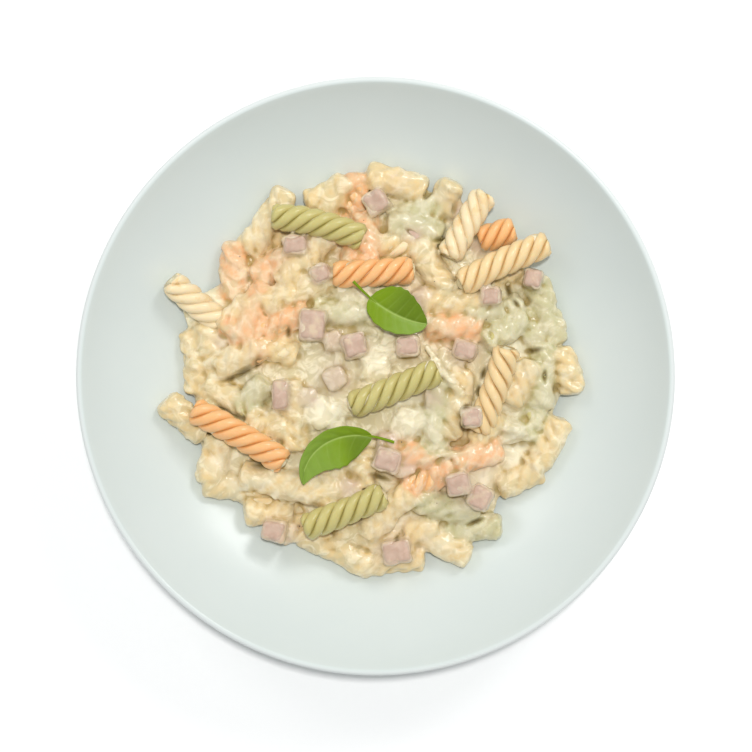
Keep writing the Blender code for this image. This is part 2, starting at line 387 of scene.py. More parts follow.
@dataclass(frozen=True)
class CreamSauce(Finish):
    """Cream and egg sauce over the pasta.

    To the eye: soft ivory with wet glints, thin enough over the twists for their colour to come
    through, with darker, yellower painted shade in the hollows and painted shadow down in the gaps.
    """

    name: str = "cream_sauce"
    cream: str = "D0C298"
    light: str = "F0E5C5"
    # Painted shade in the hollows.
    hollow: str = "AE965A"
    # Painted shadow down in the gaps between the pieces.
    gap: str = "5E4E22"
    # What comes through the film over each kind of piece, on the crests and, darker as painted shade,
    # in the hollows.
    film: dict[str, str] = field(
        default_factory=lambda: {"plain": "E4C993", "tomato": "EBB583", "spinach": "C6BF94", "ham": "CDB19C"}
    )
    deep: dict[str, str] = field(
        default_factory=lambda: {"plain": "BE9850", "tomato": "CC8A44", "spinach": "9C9346", "ham": "AE8F76"}
    )
    stain: dict[str, str] = field(
        default_factory=lambda: {"peach": "E9C59E", "olive": "CECAB0", "ham": "CBAF99", "white": "FAF1D6"}
    )
    # Millimetres across the streaks of cream, the breaks in the film and the curds of egg and cheese.
    streak: float = 6.667
    broken: float = 3.125
    curd: float = 1.111

    def make(self) -> bpy.types.Material:
        """Makes the material.

        Returns:
            The material.
        """
        made, tree, place = self.begin(
            IOR=1.45, Subsurface_Weight=0.3, Subsurface_Scale=2 * MM, Subsurface_Radius=(1.0, 0.8, 0.5),
            Coat_Weight=0.75, Coat_Roughness=0.12,
        )
        streak = add_node(
            tree, "TexNoise", {"Vector": place, "Scale": cells(self.streak), "Detail": 3.0, "Distortion": 1.8}
        ).outputs[0]
        thick = add_node(
            tree, "MapRange", {"Value": streak, "From Min": 0.42, "From Max": 0.62},
            interpolation_type="SMOOTHSTEP",
        ).outputs[0]
        tints = [(thick, self.light)]
        for name, tint in self.stain.items():
            tints.append((add_node(tree, "Attribute", attribute_name="stain_" + name).outputs["Fac"], tint))
        broken = add_node(
            tree, "TexNoise", {"Vector": place, "Scale": cells(self.broken), "Detail": 4.0, "Roughness": 0.65}
        ).outputs[0]
        bitten = add_node(
            tree, "MapRange",
            {"Value": broken, "From Min": 0.3, "From Max": 0.7, "To Min": 0.45, "To Max": 1.35},
        ).outputs[0]
        # Painted shade: the hollows darken towards the hollow colour, and the film's colours towards their
        # deep ones.
        hollow = add_node(tree, "Attribute", attribute_name="hollow").outputs["Fac"]
        for name, tint in self.film.items():
            share = add_node(tree, "Attribute", attribute_name="film_" + name).outputs["Fac"]
            for factor, over in ((bitten, tint), (hollow, self.deep[name])):
                share = add_node(
                    tree, "Math", {0: share, 1: factor}, operation="MULTIPLY", use_clamp=True
                ).outputs[0]
                tints.append((share, over))
        # Share of the painted shade in the hollows.
        dark = add_node(
            tree, "MapRange", {"Value": hollow, "From Min": 0.25, "From Max": 1.0, "To Max": 0.8},
            interpolation_type="SMOOTHSTEP",
        ).outputs[0]
        # Painted shadow in the gaps.
        gap = add_node(tree, "Attribute", attribute_name="gap").outputs["Fac"]
        tints += [(dark, self.hollow), (gap, self.gap)]
        gloss = add_node(tree, "MapRange", {"Value": streak, "To Min": 0.24, "To Max": 0.5}).outputs[0]
        curd = add_node(tree, "TexNoise", {"Vector": place, "Scale": cells(self.curd), "Detail": 3.0})
        bump = add_node(tree, "Bump", {"Strength": 0.1, "Distance": 0.6 * MM, "Height": curd.outputs[0]})
        return self.dress(made, self.cream, tints, Roughness=gloss, Normal=bump.outputs[0])


@dataclass(frozen=True)
class CookedHam(Finish):
    """Diced boiled ham.

    To the eye: dull grey pink meat with paler fat and a wet cut face, and cream on part of it.
    """

    name: str = "cooked_ham"
    lean: str = "CCB09C"
    dark: str = "BFA18D"
    fat: str = "D3BBA6"
    film: str = "DCC8A8"
    # Millimetres across a bundle of muscle and a patch of cream.
    bundle: float = 3.846
    patch: float = 5.882

    def make(self) -> bpy.types.Material:
        """Makes the material.

        Returns:
            The material.
        """
        made, tree, place = self.begin(
            IOR=1.4, Subsurface_Weight=0.2, Subsurface_Scale=1.5 * MM, Subsurface_Radius=(1.0, 0.5, 0.4),
            Coat_Weight=0.5, Coat_Roughness=0.16, Roughness=0.42,
        )
        muscle = add_node(
            tree, "TexNoise", {"Vector": place, "Scale": cells(self.bundle), "Detail": 4.0, "Distortion": 0.8}
        ).outputs[0]
        edge = add_node(tree, "Attribute", attribute_name="face").outputs["Fac"]
        lean, seam, rim = (
            add_node(
                tree, "MapRange", {"Value": source, "From Min": low, "From Max": high, "To Max": most}
            ).outputs[0]
            for source, low, high, most in (
                (muscle, 0.35, 0.65, 1.0), (muscle, 0.62, 0.72, 0.8), (edge, 0.7, 1.0, 0.35)
            )
        )
        patch = add_node(
            tree, "TexNoise", {"Vector": place, "Scale": cells(self.patch), "Detail": 3.0}
        ).outputs[0]
        cling = add_node(
            tree, "MapRange", {"Value": patch, "From Min": 0.5, "From Max": 0.72, "To Max": 0.7},
            interpolation_type="SMOOTHSTEP",
        ).outputs[0]
        tints = ((lean, self.lean), (seam, self.fat), (rim, self.fat), (cling, self.film))
        bump = add_node(tree, "Bump", {"Strength": 0.25, "Distance": 0.5 * MM, "Height": muscle})
        return self.dress(made, self.dark, tints, Normal=bump.outputs[0])


@dataclass(frozen=True)
class BasilLeaf(Finish):
    """A fresh basil leaf.

    To the eye: satin mid green, lit through where it lifts, with a pale midrib and side veins, and painted
    shade over part of one half.
    """

    name: str = "basil_leaf"
    near: str = "748F10"
    far: str = "7F9A3C"
    # Painted shade over part of one half of the blade.
    dark: str = "627A16"
    vein: str = "A3B862"
    # Millimetres across the mottling, and across the skin's cells, which are drawn large enough to show.
    mottle: float = 3.333
    cell: float = 0.5

    def make(self) -> bpy.types.Material:
        """Makes the material.

        Returns:
            The material.
        """
        made, tree, place = self.begin(
            Subsurface_Weight=0.1, Subsurface_Scale=1 * MM, Subsurface_Radius=(0.5, 1.0, 0.2),
            Specular_IOR_Level=0.3, Roughness=0.42,
        )
        along, rib, shade = (
            add_node(tree, "Attribute", attribute_name=name).outputs["Fac"]
            for name in ("along", "rib", "shade")
        )
        mottled = add_node(
            tree, "TexNoise", {"Vector": place, "Scale": cells(self.mottle), "Detail": 3.0}
        ).outputs[0]
        spread = add_node(tree, "Math", {0: mottled, 1: 0.35, 2: along}, operation="MULTIPLY_ADD").outputs[0]
        far = add_node(
            tree, "MapRange", {"Value": spread, "From Min": 0.3, "From Max": 1.0},
            interpolation_type="SMOOTHSTEP",
        ).outputs[0]
        skin = add_node(tree, "TexVoronoi", {"Vector": place, "Scale": cells(self.cell)}).outputs[0]
        bump = add_node(tree, "Bump", {"Strength": 0.12, "Distance": 0.2 * MM, "Height": skin})
        tints = ((far, self.far), (shade, self.dark), (rib, self.vein))
        return self.dress(made, self.near, tints, Normal=bump.outputs[0])


@dataclass(frozen=True)
class CrackedPepper(Finish):
    """Cracked black pepper. To the eye: matt grey brown chips with a rough broken face."""

    name: str = "cracked_pepper"
    husk: str = "4A4334"
    kernel: str = "8A8168"
    # Millimetres across a patch of husk.
    patch: float = 0.4

    def make(self) -> bpy.types.Material:
        """Makes the material.

        Returns:
            The material.
        """
        made, tree, place = self.begin(Roughness=0.7)
        husk = add_node(tree, "TexNoise", {"Vector": place, "Scale": cells(self.patch), "Detail": 2.0})
        return self.dress(made, self.husk, [(husk.outputs[0], self.kernel)])


@dataclass(frozen=True)
class StudioPaper(Finish):
    """Seamless studio paper. To the eye: a matt near white sheet with a very faint tooth."""

    name: str = "studio_paper"
    sheet: str = "FAFAF9"
    fibre: str = "FCFCFB"
    # Millimetres across the tooth, drawn coarse enough to show.
    tooth: float = 2.5

    def make(self) -> bpy.types.Material:
        """Makes the material.

        Returns:
            The material.
        """
        made, tree, place = self.begin(Roughness=0.9)
        tooth = add_node(tree, "TexNoise", {"Vector": place, "Scale": cells(self.tooth), "Detail": 2.0})
        return self.dress(made, self.sheet, [(tooth.outputs[0], self.fibre)])


# ---------------------------------------------------------------- bowl


@dataclass(frozen=True)
class CoupeBowl:
    """The bowl: a flat floor, one arc up to a rounded lip, and a turned foot ring. Sizes in metres."""

    rim_radius: float = 125 * MM
    floor_top: float = 8 * MM
    flat_radius: float = 36 * MM
    wall_arc: float = 112 * MM
    floor_thickness: float = 4.6 * MM
    rim_thickness: float = 3.0 * MM
    foot_radius: float = 46 * MM
    foot_width: float = 4.5 * MM
    foot_round: float = 1.0 * MM
    foot_flare: float = 0.6 * MM
    foot_fillet: float = 0.7 * MM
    recess: float = 2.6 * MM
    recess_round: float = 0.5 * MM
    # Steps across the flat floor, up the wall, over the lip, down the underside, round an edge of the foot
    # and round the whole turn.
    floor_steps: int = 6
    wall_steps: int = 44
    lip_steps: int = 12
    under_steps: int = 32
    foot_steps: int = 5
    turns: int = 240

    def inner_height(self, radius: Number) -> Number:
        """Height of the inner face at a radius, or at each of an array of them."""
        run = np.maximum(0.0, radius - self.flat_radius)
        return self.floor_top + self.wall_arc - np.sqrt(self.wall_arc**2 - run**2)

    def wall_point(self, angle: float, depth: float) -> tuple[float, float]:
        """Radius and height on the wall's arc, depth behind the inner face."""
        reach = self.wall_arc + depth
        return (
            self.flat_radius + reach * math.sin(angle),
            self.floor_top + self.wall_arc - reach * math.cos(angle),
        )

    def lip(self, rim: float) -> list[tuple[float, float]]:
        """The half round of the lip.

        Args:
            rim: Angle of the wall's arc at the lip.

        Returns:
            Radius and height of each point, from the inner face outwards.
        """
        half = self.rim_thickness / 2
        radius, height = self.wall_point(rim, half)
        points = []
        for step in range(1, self.lip_steps):
            turn = math.pi * step / self.lip_steps
            inward = half * math.cos(turn)
            upward = half * math.sin(turn)
            points.append(
                (
                    radius - math.sin(rim) * inward + math.cos(rim) * upward,
                    height + math.cos(rim) * inward + math.sin(rim) * upward,
                )
            )
        return points

    def foot(self, top: float) -> list[tuple[float, float]]:
        """The foot ring with its two rounded edges, and the recess inside it.

        Args:
            top: Height at which the underside meets the ring.

        Returns:
            Radius and height of each point, from the ring's outer face to the axis.
        """
        points = [(self.foot_radius, top - self.foot_fillet), (self.foot_radius, (top + self.foot_round) / 2)]
        inner = self.foot_radius - self.foot_width
        for start, centre in ((0.0, self.foot_radius - self.foot_round), (90.0, inner + self.foot_round)):
            for step in range(self.foot_steps + 1):
                turn = math.radians(start + 90 / self.foot_steps * step)
                points.append(
                    (centre + self.foot_round * math.cos(turn), self.foot_round * (1 - math.sin(turn)))
                )
        corner = self.recess_round
        points += [(inner, self.recess - corner), (inner - corner, self.recess), (0.0, self.recess)]
        return points

    def profile(self) -> list[tuple[float, float]]:
        """The half section from the axis up the inner face, over the lip and down to the recess.

        Returns:
            Radius and height of each point.
        """
        middle = self.rim_radius - self.rim_thickness / 2
        rim = math.asin((middle - self.flat_radius) / (self.wall_arc + self.rim_thickness / 2))
        count = self.floor_steps
        points = [(self.flat_radius * step / count, self.floor_top) for step in range(count + 1)]
        count = self.wall_steps
        points += [self.wall_point(rim * step / count, 0.0) for step in range(1, count + 1)]
        points += self.lip(rim)
        run = self.foot_radius + self.foot_flare - self.flat_radius
        foot = math.asin(run / (self.wall_arc + self.floor_thickness))
        for step in range(self.under_steps + 1):
            share = step / self.under_steps
            depth = self.rim_thickness + (self.floor_thickness - self.rim_thickness) * share
            points.append(self.wall_point(rim + (foot - rim) * share, depth))
        return points + self.foot(points[-1][1])

    def build(self) -> None:
        """Makes the turned and glazed bowl."""
        bm = bmesh.new()
        ring = [bm.verts.new((radius, 0.0, height)) for radius, height in self.profile()]
        section = [bm.edges.new(pair) for pair in zip(ring, ring[1:])]
        bmesh.ops.spin(
            bm, geom=ring + section, cent=(0, 0, 0), axis=(0, 0, 1), angle=math.tau, steps=self.turns,
            use_merge=True,
        )
        bmesh.ops.remove_doubles(bm, verts=bm.verts, dist=0.002 * MM)
        settle(finish_piece("coupe_bowl", bm, GlazedPorcelain().make()), "bowl_glaze", "bowl")


BOWL = CoupeBowl()


# ---------------------------------------------------------------- lie of the heap


@dataclass(frozen=True)
class HeapShape:
    """How the pasta lies: a low crown inside an uneven outline, on the bowl's wall. Millimetres."""

    crown: float = 37.5
    fall: float = 6.5
    spread: float = 80.0
    # Reach from the axis at equal steps round from +X.
    reach: tuple[float, ...] = (
        86, 80, 78, 79, 83, 84, 85, 86, 88, 86, 80, 80, 82, 78, 76, 82, 92, 82,
        78, 80, 84, 86, 84, 83, 70, 76, 79, 80, 80, 82, 82, 81, 76, 72, 80, 82,
    )
    # Share of the reach at which the heap starts to run down to the wall, and the gap that stays there.
    shoulder: float = 0.7
    gap: float = 0.6

    def reach_at(self, x: float, y: float) -> float:
        """Reach of the outline in the direction of a point.

        Args:
            x: Place.
            y: Place.

        Returns:
            The eased mean of the two nearest reaches.
        """
        count = len(self.reach)
        place = (math.atan2(y, x) / math.tau * count) % count
        before = int(place)
        share = smooth_share(0.0, 1.0, place - before)
        return self.reach[before % count] * (1 - share) + self.reach[(before + 1) % count] * share

    def top(self, x: float, y: float) -> float:
        """Height of the crown at a point."""
        return self.crown - self.fall * (x * x + y * y) / self.spread**2

    def floor(self, x: float, y: float) -> float:
        """Height of the bowl's inner face at a point."""
        return BOWL.inner_height(math.hypot(x, y) * MM) / MM

    def lie(self, x: float, y: float, thick: float, sink: float = 5.0) -> float:
        """Height of the axis of a piece that lies in the heap.

        Args:
            x: Place.
            y: Place.
            thick: The piece's radius.
            sink: How far its axis is below the crown.

        Returns:
            The height, which runs down to the bowl's wall at the outline.
        """
        high = self.top(x, y) - sink
        low = self.floor(x, y) + thick + self.gap
        share = smooth_share(self.shoulder, 1.0, math.hypot(x, y) / self.reach_at(x, y))
        return max(low, high + (low - high) * share)


HEAP = HeapShape()


# ---------------------------------------------------------------- fusilli


@dataclass(frozen=True)
class FusilliTwist:
    """A twist of fusilli: thick fins wound left-handed. Millimetres and degrees."""

    name: str
    kind: PastaKind
    x: float
    y: float
    z: float
    length: float
    heading: float
    tilt: float = 0.0
    roll: float = 0.0
    bend: float = 0.0
    radius: float = 6.0
    pitch: float = 25.0
    groove: float = 1.3
    crown: float = 1.1
    # Power that moves a fin's highest line towards its steep side.
    skew: float = 0.75
    steep: float = 0.045
    gentle: float = 0.104
    fins: int = 4
    # Size, as a share of the radius, and width of its dents and of its finer roughness.
    dents: tuple[float, float] = (0.05, 7.0)
    rough: tuple[float, float] = (0.025, 2.4)
    # How far a bare end is dished, what share of its radius it loses and over what length.
    end_dish: float = 0.8
    end_loss: float = 0.22
    end_worn: float = 1.8
    # What a coat of sauce adds to the length, takes from the radius at its thinnest, adds at its thickest,
    # and fills of a groove.
    coat_end: float = 1.2
    coat_least: float = 0.35
    coat_most: float = 1.3
    coat_fill: float = 0.9
    # Drift of the coat's share, the width of that drift, and the length and least share of a rounded end.
    coat_drift: tuple[float, float] = (0.7, 7.5)
    coat_round: float = 3.5
    coat_tip: float = 0.3
    # Places across one fin, from one groove to the next, closer together by the grooves.
    marks: tuple[float, ...] = (
        0.0, 0.02, 0.045, 0.08, 0.13, 0.2, 0.3, 0.42, 0.54, 0.65, 0.74, 0.81, 0.87, 0.92, 0.96, 0.985,
    )

    def fin_depth(self, share: float) -> float:
        """Share of the groove's depth at a place across a fin."""
        return max(math.exp(-share / self.steep), math.exp(-(1 - share) / self.gentle))

    def section(self) -> list[tuple[float, float]]:
        """The section across the axis.

        Returns:
            Angle and radius of its points, in order of their angle.
        """
        points = []
        for fin in range(self.fins):
            for mark in self.marks:
                angle = math.tau * (fin + mark) / self.fins
                crown = self.crown * (2 * mark**self.skew - 1) ** 2
                points.append((angle, self.radius - crown - self.groove * self.fin_depth(mark)))
        return points

    def drawn(self, long: float, steps: int) -> bmesh.types.BMesh:
        """Draws the section along the axis while it turns.

        Args:
            long: The length that is drawn.
            steps: Rings along it.

        Returns:
            The closed twist, straight along X, in millimetres, with an empty "groove" layer.
        """
        turn = math.radians(self.roll) + math.pi * long / self.pitch
        bm = bmesh.new()
        bm.verts.layers.float.new("groove")
        points = self.section()
        made = bmesh.ops.create_circle(bm, cap_ends=True, segments=len(points), radius=1.0)
        ring = sorted(made["verts"], key=lambda vert: math.atan2(vert.co.y, vert.co.x) % math.tau)
        for vert, (angle, reach) in zip(ring, points):
            vert.co = (-long / 2, reach * math.cos(angle + turn), reach * math.sin(angle + turn))
        bmesh.ops.spin(
            bm, geom=bm.faces[:], cent=(0, 0, 0), axis=(1, 0, 0), dvec=(long / steps, 0, 0),
            angle=-math.tau * long / self.pitch, steps=steps, use_duplicate=False,
        )
        bmesh.ops.poke(bm, faces=[face for face in bm.faces if len(face.verts) > 4])
        return bm

    def girth(self, spot: Vector, long: float, shift: Vector, coat: float | None, slim: float) -> float:
        """Scale of a point's distance from the axis.

        Args:
            spot: The point on the straight twist.
            long: The length that is drawn.
            shift: Moves the unevenness.
            coat: How much sauce covers the twist, or None.
            slim: Taken off the radius.

        Returns:
            The factor, which roughens the twist, wears its ends and swells it by its coat.
        """
        reach = math.hypot(spot.y, spot.z)
        end = max(0.0, long / 2 - abs(spot.x))
        scale = 1 - slim / self.radius
        for size, wide in (self.dents, self.rough):
            scale *= 1 + size * noise.noise(spot / wide + shift)
        if coat is None:
            return scale * (1.0 - self.end_loss * (1 - smooth_share(0.0, self.end_worn, end)))
        if reach < AXIS:
            return scale
        drift, wide = self.coat_drift
        local = kept_in(0.0, 1.0, coat + drift * noise.noise(spot / wide + shift * 2))
        covered = self.radius - self.coat_least + self.coat_most * local
        covered -= (self.radius - reach) * (1 - self.coat_fill * local)
        rounded = (1 - (1 - min(1.0, end / self.coat_round)) ** 3) ** 0.4
        return scale * (covered / reach * (self.coat_tip + (1 - self.coat_tip) * rounded))

    def bent(self, spot: Vector, long: float) -> Vector:
        """Bends the axis to an arc in plan.

        Args:
            spot: A point on the straight twist.
            long: The length that is drawn.

        Returns:
            Where the bend takes it.
        """
        if not self.bend:
            return spot
        arc = long / math.radians(self.bend)
        swing = spot.x / arc
        reach = arc - spot.y
        return Vector((reach * math.sin(swing), arc - reach * math.cos(swing), spot.z))

    def bar(
        self, steps: int, seed: int = 0, coat: float | None = None, slim: float = 0.0
    ) -> bmesh.types.BMesh:
        """Draws, roughens, bends and places the twist.

        Args:
            steps: Rings along the length.
            seed: Picks the unevenness.
            coat: How much sauce covers it, from 0 to 1, or None for the bare twist.
            slim: Taken off the radius.

        Returns:
            The closed twist in its place, in metres, with a "groove" layer.
        """
        long = self.length + (0.0 if coat is None else self.coat_end)
        bm = self.drawn(long, steps)
        layer = bm.verts.layers.float["groove"]
        shift = Vector((seed * 3.7, seed * 1.9, seed * 5.3))
        place = lay_out(self.x, self.y, self.z, self.heading, self.tilt)
        for vert in bm.verts:
            spot = vert.co.copy()
            reach = math.hypot(spot.y, spot.z)
            scale = self.girth(spot, long, shift, coat, slim)
            if reach > AXIS:
                vert[layer] = kept_in(0.0, 1.0, (self.radius - reach) / (self.groove + self.crown))
            elif coat is None:
                spot.x *= 1 - 2 * self.end_dish / long
            spot.y *= scale
            spot.z *= scale
            vert.co = place @ (self.bent(spot, long) * MM)
        return bm


CLEAR_TWISTS = (
    FusilliTwist("fusilli_green_centre", SPINACH, 8, -5.5, 40, 40, 22, 0, 0, 4),
    FusilliTwist("fusilli_green_top", SPINACH, -24, 64.5, 35.5, 40, -14, 3, 40, -20),
    FusilliTwist("fusilli_green_bottom", SPINACH, -13, -57.5, 37.5, 37, 23, 3, 80, 6),
    FusilliTwist("fusilli_orange_left", TOMATO, -57.5, -25, 35.5, 45, -30, 5, 20, -6),
    FusilliTwist("fusilli_orange_middle", TOMATO, -1, 43.5, 37, 34, 3, 0, 60, 8),
    FusilliTwist("fusilli_orange_edge", TOMATO, 51.8, 60.4, 26.8, 16, 18, 4, 10, 0),
    FusilliTwist("fusilli_plain_top_right", PLAIN, 54, 48.2, 36.5, 41, 25, -2, 0, -8),
    FusilliTwist("fusilli_plain_right", PLAIN, 50.5, -6, 36, 38, 71, 12, 30, 14),
    FusilliTwist("fusilli_plain_left", PLAIN, -77, 31.5, 29.5, 28, -40, -17, 90, 8, groove=0.7, steep=0.2),
    FusilliTwist("fusilli_plain_top", PLAIN, 38.5, 64, 34.5, 31, 60, -2, 50, -6, groove=1.0, steep=0.15),
)

# Twists that lie in the sauce, by kind: middle (x, y), heading, length, coat (0 bare, 1 drowned), lift.
# Millimetres and degrees.
SAUCED_TWISTS = {
    PLAIN: (
        (-58, 26, 37, 20, 0.9, 0), (-46, 66, 55, 32, 0.8, 1), (-47, 56, 47, 20, 0.2, -2.5),
        (-30, 50, 50, 30, 0.9, 0), (-33, 36, 25, 32, 0.9, 0.5), (-70, 10, 100, 26, 0.9, 0),
        (-77, 6, 95, 28, 0.8, -2), (-58, 8, 30, 22, 0.9, 0.5), (-42, 11, -10, 18, 0.3, 0),
        (-17, 77, 55, 18, 0.9, 0), (-24, 76, 20, 12, 0.9, -1), (9, 83, -15, 26, 0.9, 0),
        (30, 76, 70, 16, 0.9, 0), (14, 55, -5, 24, 0.25, -1.5), (24, 46, -60, 26, 0.8, 0),
        (56, 44, 15, 16, 0.3, -2), (33, 31, 0, 26, 0.9, 0), (82, 2, 105, 20, 0.7, 0),
        (62, -3, 60, 20, 0.8, 0), (74, -29, 60, 24, 0.8, 0), (62, -44, 25, 20, 0.85, -1),
        (28, -71, -30, 28, 0.8, 0.5), (0, -70, -20, 34, 0.8, 0), (6, -79, 5, 30, 0.7, -2),
        (-17, -74, -25, 34, 0.8, -0.5), (5, -58, 45, 28, 0.7, 0.5), (20, -66, 10, 14, 0.8, 0),
        (-38, -46, -12, 40, 0.9, 1), (-22, -48, 0, 16, 0.9, 1), (-69, -36, 75, 20, 0.9, 0.5),
        (-65, -47, -5, 18, 0.8, -2), (-82, -18, -40, 22, 0.85, 0), (-46, -58, 5, 20, 0.6, -0.5),
        (-50, -52, -45, 24, 0.2, -2.5), (-38, -57, -40, 16, 0.3, -2), (-73, -3, 110, 24, 0.8, 0),
        (-63, -8, -30, 22, 0.7, 0), (-46, -20, -20, 18, 0.8, 0), (-35, -17, 95, 30, 0.8, 0),
        (34, -12, 80, 30, 0.8, 0), (47, -22, 60, 16, 0.3, -1), (-15, -36, 70, 26, 0.8, 0),
        (-6, -39, 90, 16, 0.8, 0),
    ),
    TOMATO: (
        (-61, 45, 88, 24, 0.8, 0), (-41, 48, 30, 26, 0.8, 0), (-52, 27, 70, 26, 0.8, 0),
        (-55, 16, -45, 24, 0.8, 0), (-42, 22, 25, 30, 0.4, 0), (-8, 77, 85, 20, 0.4, 0),
        (-4, 58, 95, 24, 0.6, 0), (-9, 50, 80, 16, 0.4, -0.5), (33, 21, 0, 24, 0.85, 0),
        (43, -34, 15, 22, 0.6, 0.5), (24, -43, 27, 26, 0.35, 0), (16, -34, -5, 20, 0.6, 0),
    ),
    SPINACH: (
        (-12, 27, 0, 30, 0.9, -1), (19, 70, 20, 28, 0.75, 0), (17, 63, -10, 24, 0.8, 0),
        (46, 28, 20, 16, 0.8, -1), (73, 28, -72, 30, 0.75, 0), (64, 22, -50, 28, 0.75, 0),
        (55, 20, 35, 22, 0.6, 0), (71, 0, 85, 28, 0.7, 0), (68, -15, 80, 26, 0.65, 0),
        (26, -18, 85, 32, 0.7, 0), (30, -56, -15, 28, 0.6, 0), (42, -65, 5, 24, 0.55, -0.5),
        (-52, -9, 50, 18, 0.6, 0),
    ),
}


@dataclass
class PastaSpread:
    """All the fusilli: the clear twists, one piece each, and the sauced ones, one piece for each kind."""

    clear: Sequence[FusilliTwist] = CLEAR_TWISTS
    sauced: dict[PastaKind, Sequence[tuple[float, ...]]] = field(default_factory=lambda: SAUCED_TWISTS)
    materials: dict[str, bpy.types.Material] = field(default_factory=dict)
    # Twists with grooves shallower than this, in millimetres, are filled with cream.
    shallow: float = 1.05
    # How much slimmer a drowned twist is than a bare one, so that it stays under its coat.
    sunk_slim: float = 1.7
    # Share of the heap's slope that a twist lies at, and its greatest roll and bend in degrees.
    lean: float = 0.8
    roll: float = 120.0
    bend: float = 18.0
    # Share that a film of cream covers of a filled twist, a clear one and a sunk one.
    filled_veil: float = 0.9
    clear_veil: float = 0.2
    sunk_veil: float = 0.6
    # Rings for each millimetre of a clear twist, rings of a sunk one, and the first sunk one's seed.
    clear_rings: float = 1.5
    sunk_rings: int = 32
    first_seed: int = 20
    # Band, shade, groove and film; the shade down the flanks and the groove colour are painted shade.
    colours: dict[PastaKind, tuple[str, str, str, str]] = field(
        default_factory=lambda: {
            PLAIN: ("EBD09E", "E3C38C", "CFAB6F", "F0DEB8"),
            TOMATO: ("F0BA80", "E8AC6B", "D49A58", "F4D4A8"),
            SPINACH: ("C5BA79", "BFB26D", "A89B54", "D6CD9C"),
        }
    )

    def material(self, kind: PastaKind, veil: float) -> bpy.types.Material:
        """The finish of a kind of dough, made once for each veil.

        Args:
            kind: The dough.
            veil: Share that a film of cream covers.

        Returns:
            The material.
        """
        name = f"cooked_{kind.value}_pasta_{'veiled' if veil > 0.5 else 'clear'}"
        if name not in self.materials:
            self.materials[name] = CookedPasta(name, *self.colours[kind], veil).make()
        return self.materials[name]

    def sauced_twists(self, kind: PastaKind) -> list[tuple[FusilliTwist, float]]:
        """Lays the sauced twists of a kind on the heap.

        Args:
            kind: The dough.

        Returns:
            Each twist and its coat.
        """
        made = []
        thick = FusilliTwist.radius
        for number, (x, y, heading, length, coat, lift) in enumerate(self.sauced[kind]):
            draw = random.Random(f"{kind.value}{number}")
            way = Vector((math.cos(math.radians(heading)), math.sin(math.radians(heading))))
            dx = way.x * length / 2
            dy = way.y * length / 2
            rise = HEAP.lie(x + dx, y + dy, thick) - HEAP.lie(x - dx, y - dy, thick)
            twist = FusilliTwist(
                f"{kind.value}_{number}", kind, x, y, HEAP.lie(x, y, thick) + lift, length, heading,
                math.degrees(math.atan2(rise, length)) * self.lean, draw.uniform(0, self.roll),
                draw.uniform(-self.bend, self.bend),
            )
            made.append((twist, coat))
        return made

    def bars(
        self, kind: PastaKind, steps: int, coat_share: float | None = None, slim: float = 0.0
    ) -> list[bmesh.types.BMesh]:
        """Draws the sauced twists of a kind.

        Args:
            kind: The dough.
            steps: Rings along each.
            coat_share: Share of its stated coat that each is drawn with, or None for bare twists.
            slim: Taken off the radius of a fully drowned one.

        Returns:
            The twists in their places.
        """
        made = []
        for number, (twist, coat) in enumerate(self.sauced_twists(kind)):
            drawn_coat = None if coat_share is None else coat * coat_share
            made.append(twist.bar(steps, self.first_seed + number, drawn_coat, slim * coat))
        return made

    def build(self) -> None:
        """Makes every piece of pasta."""
        for number, twist in enumerate(self.clear):
            veil = self.filled_veil if twist.groove < self.shallow else self.clear_veil
            dough = self.material(twist.kind, veil)
            bm = twist.bar(max(24, round(twist.length * self.clear_rings)), number)
            settle(finish_piece(twist.name + "_twist", bm, dough), f"pasta_{twist.kind.value}", twist.name)
        for kind in PastaKind:
            bm = join_bmesh(self.bars(kind, self.sunk_rings, slim=self.sunk_slim))
            piece = finish_piece(f"fusilli_{kind.value}_sunk", bm, self.material(kind, self.sunk_veil))
            settle(piece, f"pasta_{kind.value}", "pasta_heap")


# ---------------------------------------------------------------- ham

# Dice that lie clear: middle (x, y, z), size (x, y, z), heading, tilt. Millimetres and degrees.
CLEAR_DICE = (
    (-34, 55.6, 35.2, 9.6, 6.8, 6.5, 4, 8), (0.5, 74, 33.5, 8.6, 8.8, 8, 32, 10),
    (48.8, 33.8, 35.0, 7.2, 6.8, 7, 3, 4), (67, 41.5, 32.5, 7, 7, 7, -12, 6),
    (-26.5, 21.5, 38, 10, 12, 8, -4, 5), (-9, 13, 38.5, 9, 9, 8, 18, -6),
    (13.5, 12.5, 38.5, 8.5, 7.5, 8, 6, 4), (40.4, -17.2, 42.7, 7.6, 7.6, 7.4, 4, 6),
    (-40, -8, 37, 6, 12, 8, 2, 6), (35, -45.5, 37.5, 9.4, 8, 8, 14, 4),
    (44.5, -51.5, 35, 8.2, 9, 8, -28, 8), (-23.2, 43.4, 37, 7.6, 6.6, 7, 24, 6),
    (38, 11, 37, 8.6, 6.6, 7.5, -14, 6), (5, -35.5, 37.5, 10, 8.6, 8, -20, 4),
    (9, -74.5, 32, 11, 9, 8, 8, 4), (-43, -66, 31, 9, 8, 8, -10, 6),
)

# Dice that show through the sauce: middle (x, y), size, heading, lift.
SUNK_DICE = (
    (12, 82, 7, 10, 0), (33, 72, 8, 20, -0.6), (45, 56, 7, 30, -1), (-29, -9, 7, 0, -0.5),
    (12, -38, 8, 15, -0.4), (-11, -48, 8, -10, 0.3), (-37, -68, 7, 20, 0), (14, -72, 8, 40, 0),
    (29, -70, 6, -30, -0.5), (-66, 15, 6, 10, -0.4), (20, 33, 7, 30, -0.8), (16, 60, 7, -20, -0.3),
    (25, -9, 7, 10, -0.4), (5, -28, 7, 0, -0.6), (-18, 15, 7, 12, -0.5), (-17, -1, 8, 25, -0.7),
)


